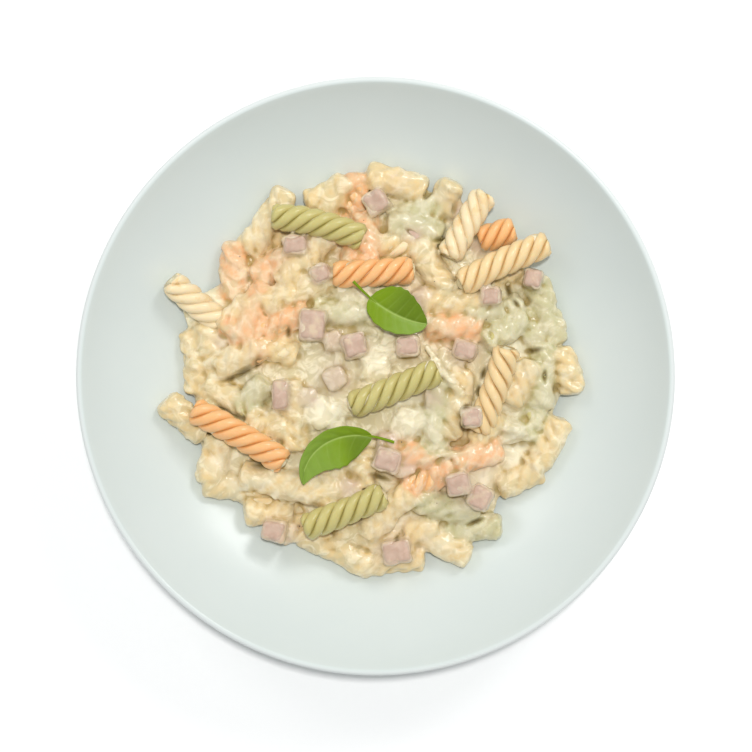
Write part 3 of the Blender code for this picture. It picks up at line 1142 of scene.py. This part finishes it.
@dataclass
class HamDice:
    """The diced ham: one piece for each clear dice, and one for those that show through the sauce."""

    clear: Sequence[tuple[float, ...]] = CLEAR_DICE
    sunk: Sequence[tuple[float, ...]] = SUNK_DICE
    cut_round: float = 1.7
    # Size and width of the dents in its faces, and how many cuts across a face carry them.
    dents: tuple[float, float] = (0.65, 4.0)
    cuts: int = 7
    # Radius and depth at which a sunk dice lies in the heap, and its tilt in degrees.
    sunk_radius: float = 4.0
    sunk_depth: float = 3.6
    sunk_tilt: float = 8.0

    def dice(self, size: Vector, place: Matrix, seed: int, swell: float = 0.0) -> bmesh.types.BMesh:
        """A knife cut dice with worn edges.

        Args:
            size: Its three sides in millimetres.
            place: Where it lies.
            seed: Picks the unevenness.
            swell: Added on every side.

        Returns:
            The closed dice in its place, with a "face" layer that is 1 at its edges.
        """
        bm = bmesh.new()
        layer = bm.verts.layers.float.new("face")
        bmesh.ops.create_cube(bm, size=1.0)
        bmesh.ops.scale(bm, vec=size + Vector((2, 2, 2)) * swell, verts=bm.verts)
        bmesh.ops.bevel(
            bm, geom=bm.edges[:], offset=self.cut_round, segments=3, profile=0.5, affect="EDGES", material=-1
        )
        across = [edge for edge in bm.edges if edge.calc_length() > 2]
        bmesh.ops.subdivide_edges(bm, edges=across, cuts=self.cuts, use_grid_fill=True)
        bmesh.ops.triangulate(bm, faces=[face for face in bm.faces if len(face.verts) > 4])
        deep, wide = self.dents
        for vert in bm.verts:
            shares = sorted(abs(vert.co[axis]) / (size[axis] / 2) for axis in range(3))
            vert[layer] = kept_in(0.0, 1.0, shares[1])
            spot = vert.co / wide + Vector((seed * 2.3, seed * 4.1, seed))
            vert.co += noise_at(spot, ((0, 0, 0), (9, 0, 0), (0, 9, 0))) * deep
            vert.co = place @ (vert.co * MM)
        return bm

    def clear_dice(self, first: int, lower: float = 0.0, swell: float = 0.0) -> list[bmesh.types.BMesh]:
        """Cuts the dice that lie clear.

        Args:
            first: Seed of the first one's unevenness.
            lower: How far each is moved down.
            swell: Added on every side.

        Returns:
            The dice in their places.
        """
        made = []
        for seed, (x, y, z, *size, heading, tilt) in enumerate(self.clear, first):
            made.append(self.dice(Vector(size), lay_out(x, y, z - lower, heading, tilt), seed, swell))
        return made

    def sunk_dice(self, tilt: float, swell: float = 0.0) -> list[bmesh.types.BMesh]:
        """Cuts the dice that show through the sauce.

        Args:
            tilt: Their tilt in degrees.
            swell: Added on every side.

        Returns:
            The dice in their places.
        """
        made = []
        for seed, (x, y, side, heading, lift) in enumerate(self.sunk, 40):
            height = HEAP.lie(x, y, self.sunk_radius, self.sunk_depth) + lift
            place = lay_out(x, y, height, heading, tilt)
            made.append(self.dice(Vector((side, side, side)), place, seed, swell))
        return made

    def build(self) -> None:
        """Makes every piece of ham."""
        meat = CookedHam().make()
        for number, bm in enumerate(self.clear_dice(1), 1):
            settle(finish_piece(f"ham_{number:02d}", bm, meat), "cooked_ham", f"ham_dice_{number:02d}")
        piece = finish_piece("ham_sunk", join_bmesh(self.sunk_dice(self.sunk_tilt)), meat)
        settle(piece, "cooked_ham", "pasta_heap")


# ---------------------------------------------------------------- sauce

# Pools and lumps of thick cream: middle (x, y), half sizes (along, across, up), heading, lift.
POOLS = (
    (60, -33, 12, 10, 6, 20, -0.5), (58, -23, 8, 6, 5, 0, -1), (66, -14, 6, 5, 5, 0, -1),
    (-22, -16, 10, 9, 4, 0, -1), (15, -20, 11, 7, 4, 10, -1.5), (0, 4, 10, 6, 4, 20, -1.5),
    (0, 12, 9, 6, 4, 0, -2), (-8, 33, 12, 7, 4, 0, -2), (30, 3, 7, 10, 4, 0, -1),
    (-63, 6, 9, 7, 5, 0, -0.5),
)

# Ridges left by pouring: half width, lift, then the points they run through.
RIDGES = (
    (3.0, 1.5, (-38, 76), (-45, 68), (-50, 58), (-53, 54)),
    (4.5, 1.0, (-52, -42), (-45, -47), (-35, -50), (-25, -50), (-18, -47)),
    (2.0, 1.5, (22, 12), (30, 0), (37, -8)),
    (2.0, 1.5, (20, -36), (28, -33), (38, -33)),
)

# Gaps down between the pieces, which the sauce's finish darkens with painted shadow: place (x, y),
# half sizes (along, across), heading, depth.
GAPS = (
    (-50, 6, 3, 1.6, 60, 3), (-56, 2, 5, 1.4, 30, 3), (-62, -1, 3, 1.2, 20, 2),
    (-37, 19, 2, 1.2, 90, 2.5), (15, 61, 2.5, 1, -30, 3), (28, 58, 3, 1.2, 10, 2.5),
    (57, 37, 3.4, 1.3, -80, 4), (60, 31, 2.6, 1, -50, 3), (43, -62, 4, 1.2, 20, 3),
    (9, -70, 2.5, 1.2, 70, 3.5), (2, -43, 4, 1.2, -20, 3), (46, 1, 3, 1.2, 70, 3),
    (44, -6, 2.4, 1, 80, 3), (38, -13, 2.4, 1, 20, 2.5), (37, -21, 2, 1.2, 90, 2.5),
    (-28, 63, 4, 1.2, 10, 3), (-20, 61, 3, 1, 20, 2.5), (-49, -38, 4, 2, 0, 3), (72, 0, 3, 1, 90, 2.5),
    (68, 11, 4, 1.3, 10, 2),
)

# Tinted regions of the sauce by stain: place (x, y), spread, strength.
STAINS = {
    "peach": (
        (-61, 50, 8, 0.6), (-44, 47, 12, 0.6), (-52, 25, 12, 0.7), (-50, 15, 9, 0.7), (-6, 58, 10, 0.5),
        (34, 20, 9, 0.7), (44, -34, 9, 0.7), (20, -40, 12, 0.6), (62, -4, 7, 0.5), (18, 36, 8, 0.4),
        (-8, 80, 8, 0.5), (8, 84, 10, 0.4), (14, -70, 16, 0.3), (-40, -64, 10, 0.3),
    ),
    "olive": (
        (62, 20, 20, 0.5), (70, -6, 18, 0.6), (20, 70, 14, 0.6), (26, -14, 14, 0.5), (46, 28, 10, 0.6),
        (34, -60, 14, 0.6), (-52, -9, 9, 0.5), (-12, 28, 12, 0.35), (60, -26, 12, 0.5),
        (-20, -2, 12, 0.4), (8, 28, 9, 0.3), (20, -24, 10, 0.4),
    ),
    "ham": (
        (33, 72, 6, 0.6), (45, 56, 5, 0.7), (12, -38, 7, 0.6), (20, 33, 5, 0.4), (25, -9, 6, 0.5),
        (5, -28, 6, 0.6), (-18, 15, 6, 0.5), (-17, -1, 8, 0.5), (-9, 13, 7, 0.4), (38, 11, 8, 0.6),
        (-40, -8, 7, 0.4), (-30, -9, 5, 0.4), (30, -47, 8, 0.5), (44, -50, 9, 0.5), (8, -74, 9, 0.6),
        (-12, -46, 6, 0.5), (14, 12, 7, 0.4), (66, 42, 6, 0.4),
    ),
    "white": (
        (-22, -16, 8, 0.5), (15, -18, 9, 0.4), (0, 6, 9, 0.4), (-30, -46, 12, 0.5), (62, -34, 8, 0.6),
        (-68, -36, 7, 0.7), (-52, 64, 7, 0.6), (-64, 10, 9, 0.4), (8, -62, 9, 0.5), (46, -42, 6, 0.6),
        (-28, 58, 6, 0.6), (-80, 40, 9, 0.3), (-10, 27, 7, 0.5), (-74, 24, 8, 0.3), (-46, -50, 9, 0.6),
        (-58, -46, 7, 0.5), (-72, 34, 6, 0.5), (56, 8, 9, 0.5), (70, -22, 9, 0.5), (64, 30, 7, 0.4),
        (24, -26, 7, 0.4), (30, -74, 8, 0.4),
    ),
}


@dataclass
class SauceBlanket:
    """The sauce: one skin over a core mound, the twists, the ham, the pools and the ridges. Millimetres."""

    pasta: PastaSpread
    ham: HamDice
    voxel: float = 0.7
    core_drop: float = 4.2
    core_inset: float = 3.5
    core_rim: float = 2.0
    clearance: float = 0.5
    film_depth: float = 0.8
    film_reach: float = 4.0
    smoothing: int = 3
    # Triangles that the skin is thinned to.
    budget: int = 194000
    # Shares of the stated coats and gap depths that are drawn.
    coat_share: float = 0.65
    gap_share: float = 0.55
    # Size and width of the lumps, the folded crests and the grain, and of the wander that folds them.
    lumps: tuple[float, float] = (0.7, 7.0)
    crests: tuple[float, float] = (1.2, 6.2)
    grain: tuple[float, float] = (0.1, 2.2)
    wander: tuple[float, float] = (2.2, 6.0)
    shifts: tuple[tuple[float, float, float], ...] = ((0.3, 7.4, 1.7), (5.2, 1.3, 8.6), (9.1, 4.8, 2.5))
    # Half width of a crest, as a value of its noise.
    crest_half: float = 0.22
    # How much larger than stated a gap is at the surface.
    gap_flare: float = 1.5
    # Unevenness of a pool, and how far its top stands above the crown.
    pool_rough: float = 0.5
    pool_proud: float = 0.6
    # Step from ball to ball of a ridge, as a share of its half width, and how much that width varies.
    ball_step: float = 0.35
    ball_drift: float = 0.3
    # Rings of a coated twist, a low copy of a clear one, and a twist that only tints its film.
    coated_rings: int = 36
    low_rings: int = 16
    film_rings: int = 24
    # How the clear twists and dice are copied into the skin: lower, and slimmer or swollen.
    twist_lower: float = 1.6
    twist_slim: float = 0.8
    twist_coat: float = 0.5
    ham_lower: float = 1.4
    ham_swell: float = 0.7
    # Rounds of relaxing that tell a hollow from a crest, and the depth of a full hollow.
    hollow_rounds: int = 14
    hollow_depth: float = 0.55

    def core(self) -> bmesh.types.BMesh:
        """The mound under everything, lower and a little inside the heap's outline.

        Returns:
            The closed mound.
        """
        bm = bmesh.new()
        bmesh.ops.create_uvsphere(bm, u_segments=96, v_segments=40, radius=1.0)
        for vert in bm.verts:
            reach = HEAP.reach_at(vert.co.x, vert.co.y) - self.core_inset
            out = reach * min(1.0, math.hypot(vert.co.x, vert.co.y))
            angle = math.atan2(vert.co.y, vert.co.x)
            x = out * math.cos(angle)
            y = out * math.sin(angle)
            rim = HEAP.floor(reach, 0) + self.clearance + self.core_rim
            crown = HEAP.top(x, y) - self.core_drop
            target = crown if vert.co.z > 0 else HEAP.floor(x, y) + self.clearance
            vert.co = Vector((x, y, rim + (target - rim) * abs(vert.co.z) ** 0.6)) * MM
        return bm

    def pool(
        self, x: float, y: float, along: float, across: float, up: float, heading: float, lift: float
    ) -> bmesh.types.BMesh:
        """Shapes a pool of thick cream.

        Args:
            x: Place.
            y: Place.
            along: Half size along its heading.
            across: Half size across it.
            up: Half size upwards.
            heading: Degrees from +X.
            lift: Above its lie in the heap.

        Returns:
            The uneven pool in its place.
        """
        bm = bmesh.new()
        bmesh.ops.create_icosphere(bm, subdivisions=3 if up > 3 else 2, radius=1.0)
        for vert in bm.verts:
            vert.co *= 1 + self.pool_rough * noise.noise(vert.co * 1.6 + Vector((x, y, up)))
        bmesh.ops.scale(bm, vec=Vector((along, across, up)) * MM, verts=bm.verts)
        place = lay_out(x, y, HEAP.lie(x, y, up, up - self.pool_proud) + lift, heading)
        bmesh.ops.transform(bm, matrix=place, verts=bm.verts)
        return bm

    def ridge(
        self, half: float, lift: float, points: Sequence[tuple[float, float]]
    ) -> list[bmesh.types.BMesh]:
        """Shapes a ridge of cream.

        Args:
            half: Half its width.
            lift: Above its lie in the heap.
            points: Where it runs through.

        Returns:
            A chain of balls close enough to be one ridge.
        """
        made = []
        for (ax, ay), (bx, by) in zip(points, points[1:]):
            count = max(2, round(math.hypot(bx - ax, by - ay) / (half * self.ball_step)))
            for step in range(count):
                share = step / count
                x = ax + (bx - ax) * share
                y = ay + (by - ay) * share
                wide = half * (0.85 + self.ball_drift * noise.noise(Vector((x / 6, y / 6, 3.0))))
                made.append(self.pool(x, y, wide, wide, wide, 0, lift))
        return made

    def covered(self) -> list[bmesh.types.BMesh]:
        """Gathers all that the sauce covers.

        Returns:
            The core, the coated twists, lower copies of the clear pieces, the pools and the ridges.
        """
        parts = [self.core()]
        for kind in PastaKind:
            parts += self.pasta.bars(kind, self.coated_rings, self.coat_share)
        for twist in self.pasta.clear:
            low = replace(
                twist, z=twist.z - self.twist_lower, groove=FusilliTwist.groove, steep=FusilliTwist.steep
            )
            parts.append(low.bar(self.low_rings, 0, self.twist_coat, self.twist_slim))
        parts += self.ham.clear_dice(0, self.ham_lower, self.ham_swell)
        parts += self.ham.sunk_dice(0.0, self.ham_swell)
        parts += [self.pool(*pool) for pool in POOLS]
        for half, lift, *points in RIDGES:
            parts += self.ridge(half, lift, points)
        return parts

    def skin(self) -> bmesh.types.BMesh:
        """Draws one skin over all that the sauce covers.

        Returns:
            The skin's largest body.
        """
        whole = join_bmesh(self.covered())
        mesh = bpy.data.meshes.new("sauce_core")
        whole.to_mesh(mesh)
        whole.free()
        raw = bpy.data.objects.new("sauce_core", mesh)
        bpy.context.scene.collection.objects.link(raw)
        modifier = raw.modifiers.new("skin", "REMESH")
        modifier.mode = "VOXEL"
        modifier.voxel_size = self.voxel * MM
        drawn = evaluated_mesh(raw)
        bpy.data.objects.remove(raw)
        bpy.data.meshes.remove(mesh)
        bm = bmesh.new()
        bm.from_mesh(drawn)
        bpy.data.meshes.remove(drawn)
        self.keep_largest(bm)
        return bm

    def keep_largest(self, bm: bmesh.types.BMesh) -> None:
        """Deletes all but the biggest connected body of a bmesh.

        Args:
            bm: The bmesh.
        """
        seen: set[int] = set()
        islands = []
        bm.verts.ensure_lookup_table()
        for start in bm.verts:
            if start.index in seen:
                continue
            seen.add(start.index)
            stack = [start]
            island = []
            while stack:
                vert = stack.pop()
                island.append(vert)
                for edge in vert.link_edges:
                    other = edge.other_vert(vert)
                    if other.index not in seen:
                        seen.add(other.index)
                        stack.append(other)
            islands.append(island)
        islands.sort(key=len)
        for island in islands[:-1]:
            bmesh.ops.delete(bm, geom=island, context="VERTS")

    def relax(self, points: np.ndarray, edges: np.ndarray, rounds: int) -> np.ndarray:
        """Moves every point half of the way to the mean of its neighbours.

        Args:
            points: The vertices.
            edges: The pairs of vertices that each edge joins.
            rounds: How many times.

        Returns:
            The moved vertices.
        """
        count = len(points)
        both = np.concatenate([edges, edges[:, ::-1]])
        weight = np.bincount(both[:, 0], minlength=count)[:, None]
        moved = points.copy()
        for _ in range(rounds):
            sums = [np.bincount(both[:, 0], moved[both[:, 1], axis], minlength=count) for axis in range(3)]
            moved += (np.stack(sums, axis=1) / weight - moved) * 0.5
        return moved

    def normals_at(self, mesh: bpy.types.Mesh, points: np.ndarray) -> np.ndarray:
        """Moves a mesh's vertices.

        Args:
            mesh: The mesh.
            points: Where its vertices go.

        Returns:
            The normal of each vertex there.
        """
        mesh.vertices.foreach_set("co", points.astype(np.float32).ravel())
        mesh.update()
        return read_rows(mesh.vertices, "normal", 3, np.float32)

    def curdle(self, points: np.ndarray, normals: np.ndarray) -> None:
        """Raises lumps, folded crests and fine grain on the upper side.

        Args:
            points: The vertices in metres, which are moved.
            normals: Their normals.
        """
        for index, (x, y, z) in enumerate(points / MM):
            spot = Vector((x, y, z))
            spot += noise_at(spot / self.wander[1], self.shifts) * self.wander[0]
            fold = abs(noise.noise(spot / self.crests[1] + Vector((5, 0, 2))))
            rise = self.lumps[0] * noise.noise(spot / self.lumps[1])
            rise += self.crests[0] * (self.crest_half - fold)
            rise += self.grain[0] * noise.noise(spot / self.grain[1] + Vector((7, 3, 1)))
            upper = smooth_share(-1.0, 3.0, z - HEAP.floor(x, y) - 2.0)
            points[index] += normals[index] * rise * upper * MM

    def open_gaps(self, points: np.ndarray) -> np.ndarray:
        """Presses the gaps down between the pieces.

        Args:
            points: The vertices in metres, which are moved.

        Returns:
            How deep in a gap each is, from 0 to 1.
        """
        gap = np.zeros(len(points))
        for x, y, along, across, heading, depth in GAPS:
            turn = math.radians(heading)
            dx = points[:, 0] / MM - x
            dy = points[:, 1] / MM - y
            run = (dx * math.cos(turn) + dy * math.sin(turn)) / (along * self.gap_flare)
            side = (dy * math.cos(turn) - dx * math.sin(turn)) / (across * self.gap_flare)
            away = np.clip(1 - run**2 - side**2, 0, 1)
            upper = points[:, 2] / MM > HEAP.floor(x, y) + 3
            points[:, 2] -= away**1.5 * depth * self.gap_share * MM * upper
            gap = np.maximum(gap, away**3 * upper)
        return gap

    def film(self, points: np.ndarray, parts: Iterable[bmesh.types.BMesh]) -> np.ndarray:
        """How thin the film of sauce is over some parts.

        Args:
            points: The vertices.
            parts: What lies under the film, which is freed.

        Returns:
            For each vertex 1 on the parts' surface, fading over the film's depth.
        """
        whole = join_bmesh(parts)
        tree = BVHTree.FromBMesh(whole)
        whole.free()
        near = np.zeros(len(points))
        for index, point in enumerate(points):
            found = tree.find_nearest(Vector(point), self.film_reach * MM)
            if found[0] is not None:
                near[index] = math.exp(-found[3] / (self.film_depth * MM))
        return near

    def stain(self, points: np.ndarray, spots: Sequence[tuple[float, float, float, float]]) -> np.ndarray:
        """How much of a stain each vertex takes.

        Args:
            points: The vertices.
            spots: Place, spread and strength of each tinted region.

        Returns:
            The strongest share at each.
        """
        amount = np.zeros(len(points))
        for x, y, spread, strength in spots:
            away = ((points[:, 0] / MM - x) ** 2 + (points[:, 1] / MM - y) ** 2) / spread**2
            amount = np.maximum(amount, strength * np.exp(-away * 1.2))
        return amount

    def thin(self, piece: bpy.types.Object) -> None:
        """Collapses the skin to its budget of triangles, where it is flattest first.

        Args:
            piece: The skin's object, which is given the thinned mesh.
        """
        modifier = piece.modifiers.new("thin", "DECIMATE")
        modifier.ratio = min(1.0, self.budget / (2 * len(piece.data.polygons)))
        thinned = evaluated_mesh(piece)
        piece.modifiers.remove(modifier)
        full = piece.data
        piece.data = thinned
        bpy.data.meshes.remove(full)

    def build(self) -> None:
        """Makes the sauce, with what its finish reads as attributes."""
        piece = finish_piece("cream_sauce_skin", self.skin(), CreamSauce().make())
        mesh = piece.data
        edges = read_rows(mesh.edges, "vertices", 2, np.int64)
        points = self.relax(read_rows(mesh.vertices, "co", 3, np.float64), edges, self.smoothing)
        self.curdle(points, self.normals_at(mesh, points))
        gap = self.open_gaps(points)
        wall = BOWL.inner_height(np.hypot(points[:, 0], points[:, 1])) + 0.2 * MM
        points[:, 2] = np.maximum(points[:, 2], wall)
        # How hollow each point is, for the finish's painted shade in the hollows.
        relaxed = self.relax(points, edges, self.hollow_rounds)
        sunk = ((relaxed - points) * self.normals_at(mesh, points)).sum(axis=1) / MM
        # The gap layer carries the finish's painted shadow in the gaps.
        layers = {"hollow": np.clip(sunk / self.hollow_depth, 0, 1), "gap": gap * 0.9}
        for kind in PastaKind:
            layers["film_" + kind.value] = self.film(points, self.pasta.bars(kind, self.film_rings))
        layers["film_ham"] = self.film(points, self.ham.clear_dice(0) + self.ham.sunk_dice(0.0))
        for name, spots in STAINS.items():
            layers["stain_" + name] = self.stain(points, spots)
        for name, values in layers.items():
            layer = mesh.attributes.new(name, "FLOAT", "POINT")
            layer.data.foreach_set("value", values.astype(np.float32))
        self.thin(piece)
        settle(piece, "cream_sauce", "pasta_heap")


# ---------------------------------------------------------------- basil


@dataclass(frozen=True)
class BasilLeafPiece:
    """A basil leaf on its stalk: a blade that follows the midrib. Millimetres and degrees."""

    name: str
    stalk_end: tuple[float, float, float]
    heading: float
    turn: float
    stalk: float
    blade: float
    fall: float
    rise: float
    # Greatest half width and fold of each half of the blade.
    left: tuple[float, float]
    right: tuple[float, float]
    # Where along the left half the blade is darkened with painted shade.
    dark: tuple[float, float]
    # Power of the blade's outline: a lower one gives a blunter tip.
    blunt: float = 0.75
    rows: int = 72
    columns: int = 24
    thickness: float = 0.4
    stalk_radius: float = 0.55
    # Share of the blade that the stalk runs on under, and the steps along it and round it.
    under: float = 0.12
    stalk_steps: int = 24
    stalk_sides: int = 10
    veins: int = 6
    # How far forward a side vein sweeps, as a share of the blade.
    sweep: float = 0.16
    # Height of the quilting between the veins, and depth and half width of the gutter over the midrib.
    quilt: float = 0.14
    gutter: float = 0.45
    gutter_half: float = 0.9
    # Half width of the pale midrib at the stalk and its loss by the tip, and half width and share of a vein.
    rib_half: float = 0.55
    rib_loss: float = 0.35
    vein_half: float = 0.35
    vein_share: float = 0.16
    # Steps of the midrib's track.
    steps: int = 400

    def track(self) -> list[tuple[Vector, Vector]]:
        """Walks from the stalk's end to the tip.

        Returns:
            Place and direction at each step.
        """
        made = []
        place = Vector((0.0, 0.0))
        total = self.stalk + self.blade
        step = total / self.steps
        for row in range(self.steps + 1):
            share = min(1.0, (row * step + step / 2) / total)
            angle = math.radians(self.heading + self.turn * share**1.6)
            way = Vector((math.cos(angle), math.sin(angle)))
            made.append((place.copy(), way))
            place += way * step
        return made

    def beside(self, track: list[tuple[Vector, Vector]], run: float, reach: float, height: float) -> Vector:
        """A point beside the midrib.

        Args:
            track: The midrib's places and directions.
            run: How far along it.
            reach: How far to its left.
            height: How high.

        Returns:
            The point.
        """
        part = run / (self.stalk + self.blade) * self.steps
        spot = min(self.steps - 1, int(part))
        place = track[spot][0].lerp(track[spot + 1][0], part - spot)
        way = track[spot][1].lerp(track[spot + 1][1], part - spot).normalized()
        return Vector((place.x - way.y * reach, place.y + way.x * reach, height))

    def sag(self, run: float) -> float:
        """Height of the midrib along the leaf."""
        share = max(0.0, (run - self.stalk) / self.blade)
        return self.rise * math.sin(math.pi * share) - self.fall * min(1.0, run / self.stalk)

    def blade_mesh(self, track: list[tuple[Vector, Vector]]) -> bmesh.types.BMesh:
        """Shapes the blade.

        Args:
            track: The midrib's places and directions.

        Returns:
            The blade with its thickness, and with layers for its length, its veins and its painted shade.
        """
        bm = bmesh.new()
        layers = {key: bm.verts.layers.float.new(key) for key in ("along", "rib", "shade")}
        bmesh.ops.create_grid(bm, x_segments=self.rows, y_segments=self.columns, size=1.0)
        for vert in bm.verts:
            share = (vert.co.x + 1) / 2
            across = vert.co.y
            away = abs(across)
            run = self.stalk + self.blade * share
            widest, fold = self.left if across > 0 else self.right
            half = widest * math.sin(math.pi * kept_in(0.0, 1.0, share) ** 0.8) ** self.blunt
            half = max(0.15, half * (1 + 0.02 * math.sin(share * 37 + across * 2)))
            # Side veins leave the midrib and sweep forward, and the blade quilts between them.
            phase = (share * 1.05 - self.sweep * away) * self.veins
            vein = abs(phase - round(phase)) / self.veins * self.blade
            quilt = math.sin(math.pi * min(1.0, away * 1.1)) * math.sin(math.pi * share) ** 0.5
            height = self.sag(run) + half * away * math.sin(math.radians(fold))
            height -= self.quilt * math.cos(math.tau * phase) * quilt
            height -= self.gutter * math.exp(-((away * half / self.gutter_half) ** 2))
            vert.co = self.beside(track, run, half * across * math.cos(math.radians(fold)), height)
            rib = math.exp(-((away * half / (self.rib_half - self.rib_loss * share)) ** 2))
            side = self.vein_share * math.exp(-((vein / self.vein_half) ** 2)) * (1 - away * 0.8)
            vert[layers["along"]] = share
            vert[layers["rib"]] = min(1.0, 0.85 * rib + side)
            # Painted shade on the left half, between the shares in dark.
            vert[layers["shade"]] = smooth_share(-0.05, 0.1, across) * smooth_share(*self.dark, share)
        bmesh.ops.recalc_face_normals(bm, faces=bm.faces)
        bmesh.ops.solidify(bm, geom=bm.faces[:], thickness=self.thickness)
        return bm

    def stalk_mesh(self, track: list[tuple[Vector, Vector]]) -> bmesh.types.BMesh:
        """Draws the stalk, which thins and runs on under the blade.

        Args:
            track: The midrib's places and directions.

        Returns:
            The closed stalk.
        """
        bm = bmesh.new()
        made = bmesh.ops.create_circle(
            bm, cap_ends=True, segments=self.stalk_sides, radius=self.stalk_radius
        )
        long = self.stalk + self.blade * self.under
        turn = Matrix.Rotation(math.pi / 2, 3, "Y")
        bmesh.ops.rotate(bm, verts=made["verts"], cent=(0, 0, 0), matrix=turn)
        bmesh.ops.spin(
            bm, geom=bm.faces[:], cent=(0, 0, 0), axis=(1, 0, 0), dvec=(long / self.stalk_steps, 0, 0),
            angle=0.0, steps=self.stalk_steps, use_duplicate=False,
        )
        for vert in bm.verts:
            run, aside, up = vert.co
            thin = 1.15 - 0.35 * run / long
            dip = 0.35 * smooth_share(self.stalk * 0.8, long, run)
            vert.co = self.beside(track, run, aside * thin, self.sag(run) + up * thin - dip)
        return bm

    def build(self) -> None:
        """Makes the leaf."""
        track = self.track()
        leaf = join_bmesh([self.blade_mesh(track), self.stalk_mesh(track)])
        place = Matrix.Translation(Vector(self.stalk_end) * MM) @ Matrix.Scale(MM, 4)
        bmesh.ops.transform(leaf, matrix=place, verts=leaf.verts)
        settle(finish_piece(self.name + "_blade", leaf, BasilLeaf().make()), "basil", self.name)


LEAVES = (
    BasilLeafPiece(
        "basil_leaf_top", (-9.3, 39.7, 43.6), -46, 42, 9.9, 26.5, 2.6, 1.6, (11.6, 12), (7.8, 8), (0.1, 0.6),
        blunt=0.52,
    ),
    BasilLeafPiece(
        "basil_leaf_bottom", (7.9, -27.9, 40.8), 162, 115, 9.6, 41.5, 0.4, 1.6, (12.4, 6), (5.4, 30),
        (0.4, 0.15),
    ),
)


# ---------------------------------------------------------------- pepper

# Flecks of pepper: place (x, y) and size. Millimetres.
FLECKS = (
    (74.8, -14.6, 0.8), (72.3, 0.4, 0.9), (26, -54, 0.5), (11, -28, 0.6), (47, 24, 0.6), (-5, 66, 0.5),
    (25, 40, 0.5), (-58, 51, 0.6), (-44, 15, 0.5), (62, 8, 0.5),
)


@dataclass(frozen=True)
class PepperFlecks:
    """Cracked pepper on the sauce. Millimetres."""

    flecks: Sequence[tuple[float, float, float]] = FLECKS
    drop_from: float = 80.0
    flatness: float = 0.6

    def build(self) -> None:
        """Makes the flecks, dropped on to whatever is under each."""
        graph = bpy.context.evaluated_depsgraph_get()
        parts = []
        for number, (x, y, size) in enumerate(self.flecks):
            above = Vector((x, y, self.drop_from)) * MM
            hit, place, *_ = bpy.context.scene.ray_cast(graph, above, Vector((0, 0, -1)))
            if not hit:
                continue
            bm = bmesh.new()
            bmesh.ops.create_icosphere(bm, subdivisions=1, radius=size * MM / 2)
            for vert in bm.verts:
                vert.co *= 1 + 0.5 * noise.noise(vert.co / MM * 1.7 + Vector((number, 0, 0)))
                vert.co.z *= self.flatness
            bmesh.ops.translate(bm, verts=bm.verts, vec=place)
            parts.append(bm)
        piece = finish_piece("pepper_flecks", join_bmesh(parts), CrackedPepper().make())
        settle(piece, "cream_sauce", "pasta_heap")


# ---------------------------------------------------------------- studio


@dataclass(frozen=True)
class SoftBox:
    """A square soft light aimed at the dish. Degrees, metres and watts."""

    name: str
    azimuth: float
    elevation: float
    distance: float
    side: float
    watts: float
    # Whether it makes glints of its own.
    glints: bool = True

    def build(self) -> None:
        """Hangs the light."""
        data = bpy.data.lights.new(self.name, "AREA")
        data.shape = "SQUARE"
        data.size = self.side
        data.energy = self.watts
        light = bpy.data.objects.new(self.name, data)
        light.visible_glossy = self.glints
        bpy.context.scene.collection.objects.link(light)
        turn = math.radians(self.azimuth)
        rise = math.radians(self.elevation)
        flat = math.cos(rise) * self.distance
        light.location = (flat * math.cos(turn), flat * math.sin(turn), math.sin(rise) * self.distance)
        light.rotation_euler = (AIM - light.location).to_track_quat("-Z", "Y").to_euler()


@dataclass(frozen=True)
class Studio:
    """The floor, the lights, the air and the camera. Metres."""

    lights: Sequence[SoftBox] = (
        SoftBox("key_light", 50, 44, 1.3, 0.4, 4.0),
        SoftBox("side_light", 134, 44, 1.3, 0.4, 1.5),
        SoftBox("top_light", 78, 84, 1.6, 0.1, 14.5, glints=False),
    )
    floor_half: float = 1.5
    air: str = "F4F7FA"
    air_strength: float = 0.47
    # The camera looks straight down, and its lens and sensor are in millimetres.
    camera: tuple[float, float, float] = (0.0002, 0.0, 0.9196)
    lens: float = 100.0
    sensor: float = 36.0

    def build(self) -> None:
        """Makes the studio."""
        bm = bmesh.new()
        bmesh.ops.create_grid(bm, x_segments=4, y_segments=4, size=self.floor_half)
        floor = finish_piece("studio_floor", bm, StudioPaper().make())
        for light in self.lights:
            light.build()
        scene = bpy.context.scene
        scene.world = bpy.data.worlds.new("studio_air")
        scene.world.use_nodes = True
        sky = scene.world.node_tree.nodes["Background"]
        sky.inputs["Color"].default_value = srgb(self.air)
        sky.inputs["Strength"].default_value = self.air_strength
        data = bpy.data.cameras.new("camera")
        data.lens = self.lens
        data.sensor_width = self.sensor
        camera = bpy.data.objects.new("camera", data)
        camera.location = self.camera
        scene.collection.objects.link(camera)
        scene.camera = camera
        scene.view_settings.view_transform = "Standard"


def main() -> None:
    """Builds the dish and its studio."""
    logging.basicConfig(level=logging.INFO, format="%(name)s: %(message)s")
    Studio().build()
    BOWL.build()
    pasta = PastaSpread()
    pasta.build()
    ham = HamDice()
    ham.build()
    SauceBlanket(pasta, ham).build()
    PepperFlecks().build()
    for leaf in LEAVES:
        leaf.build()


if __name__ == "__main__":
    main()
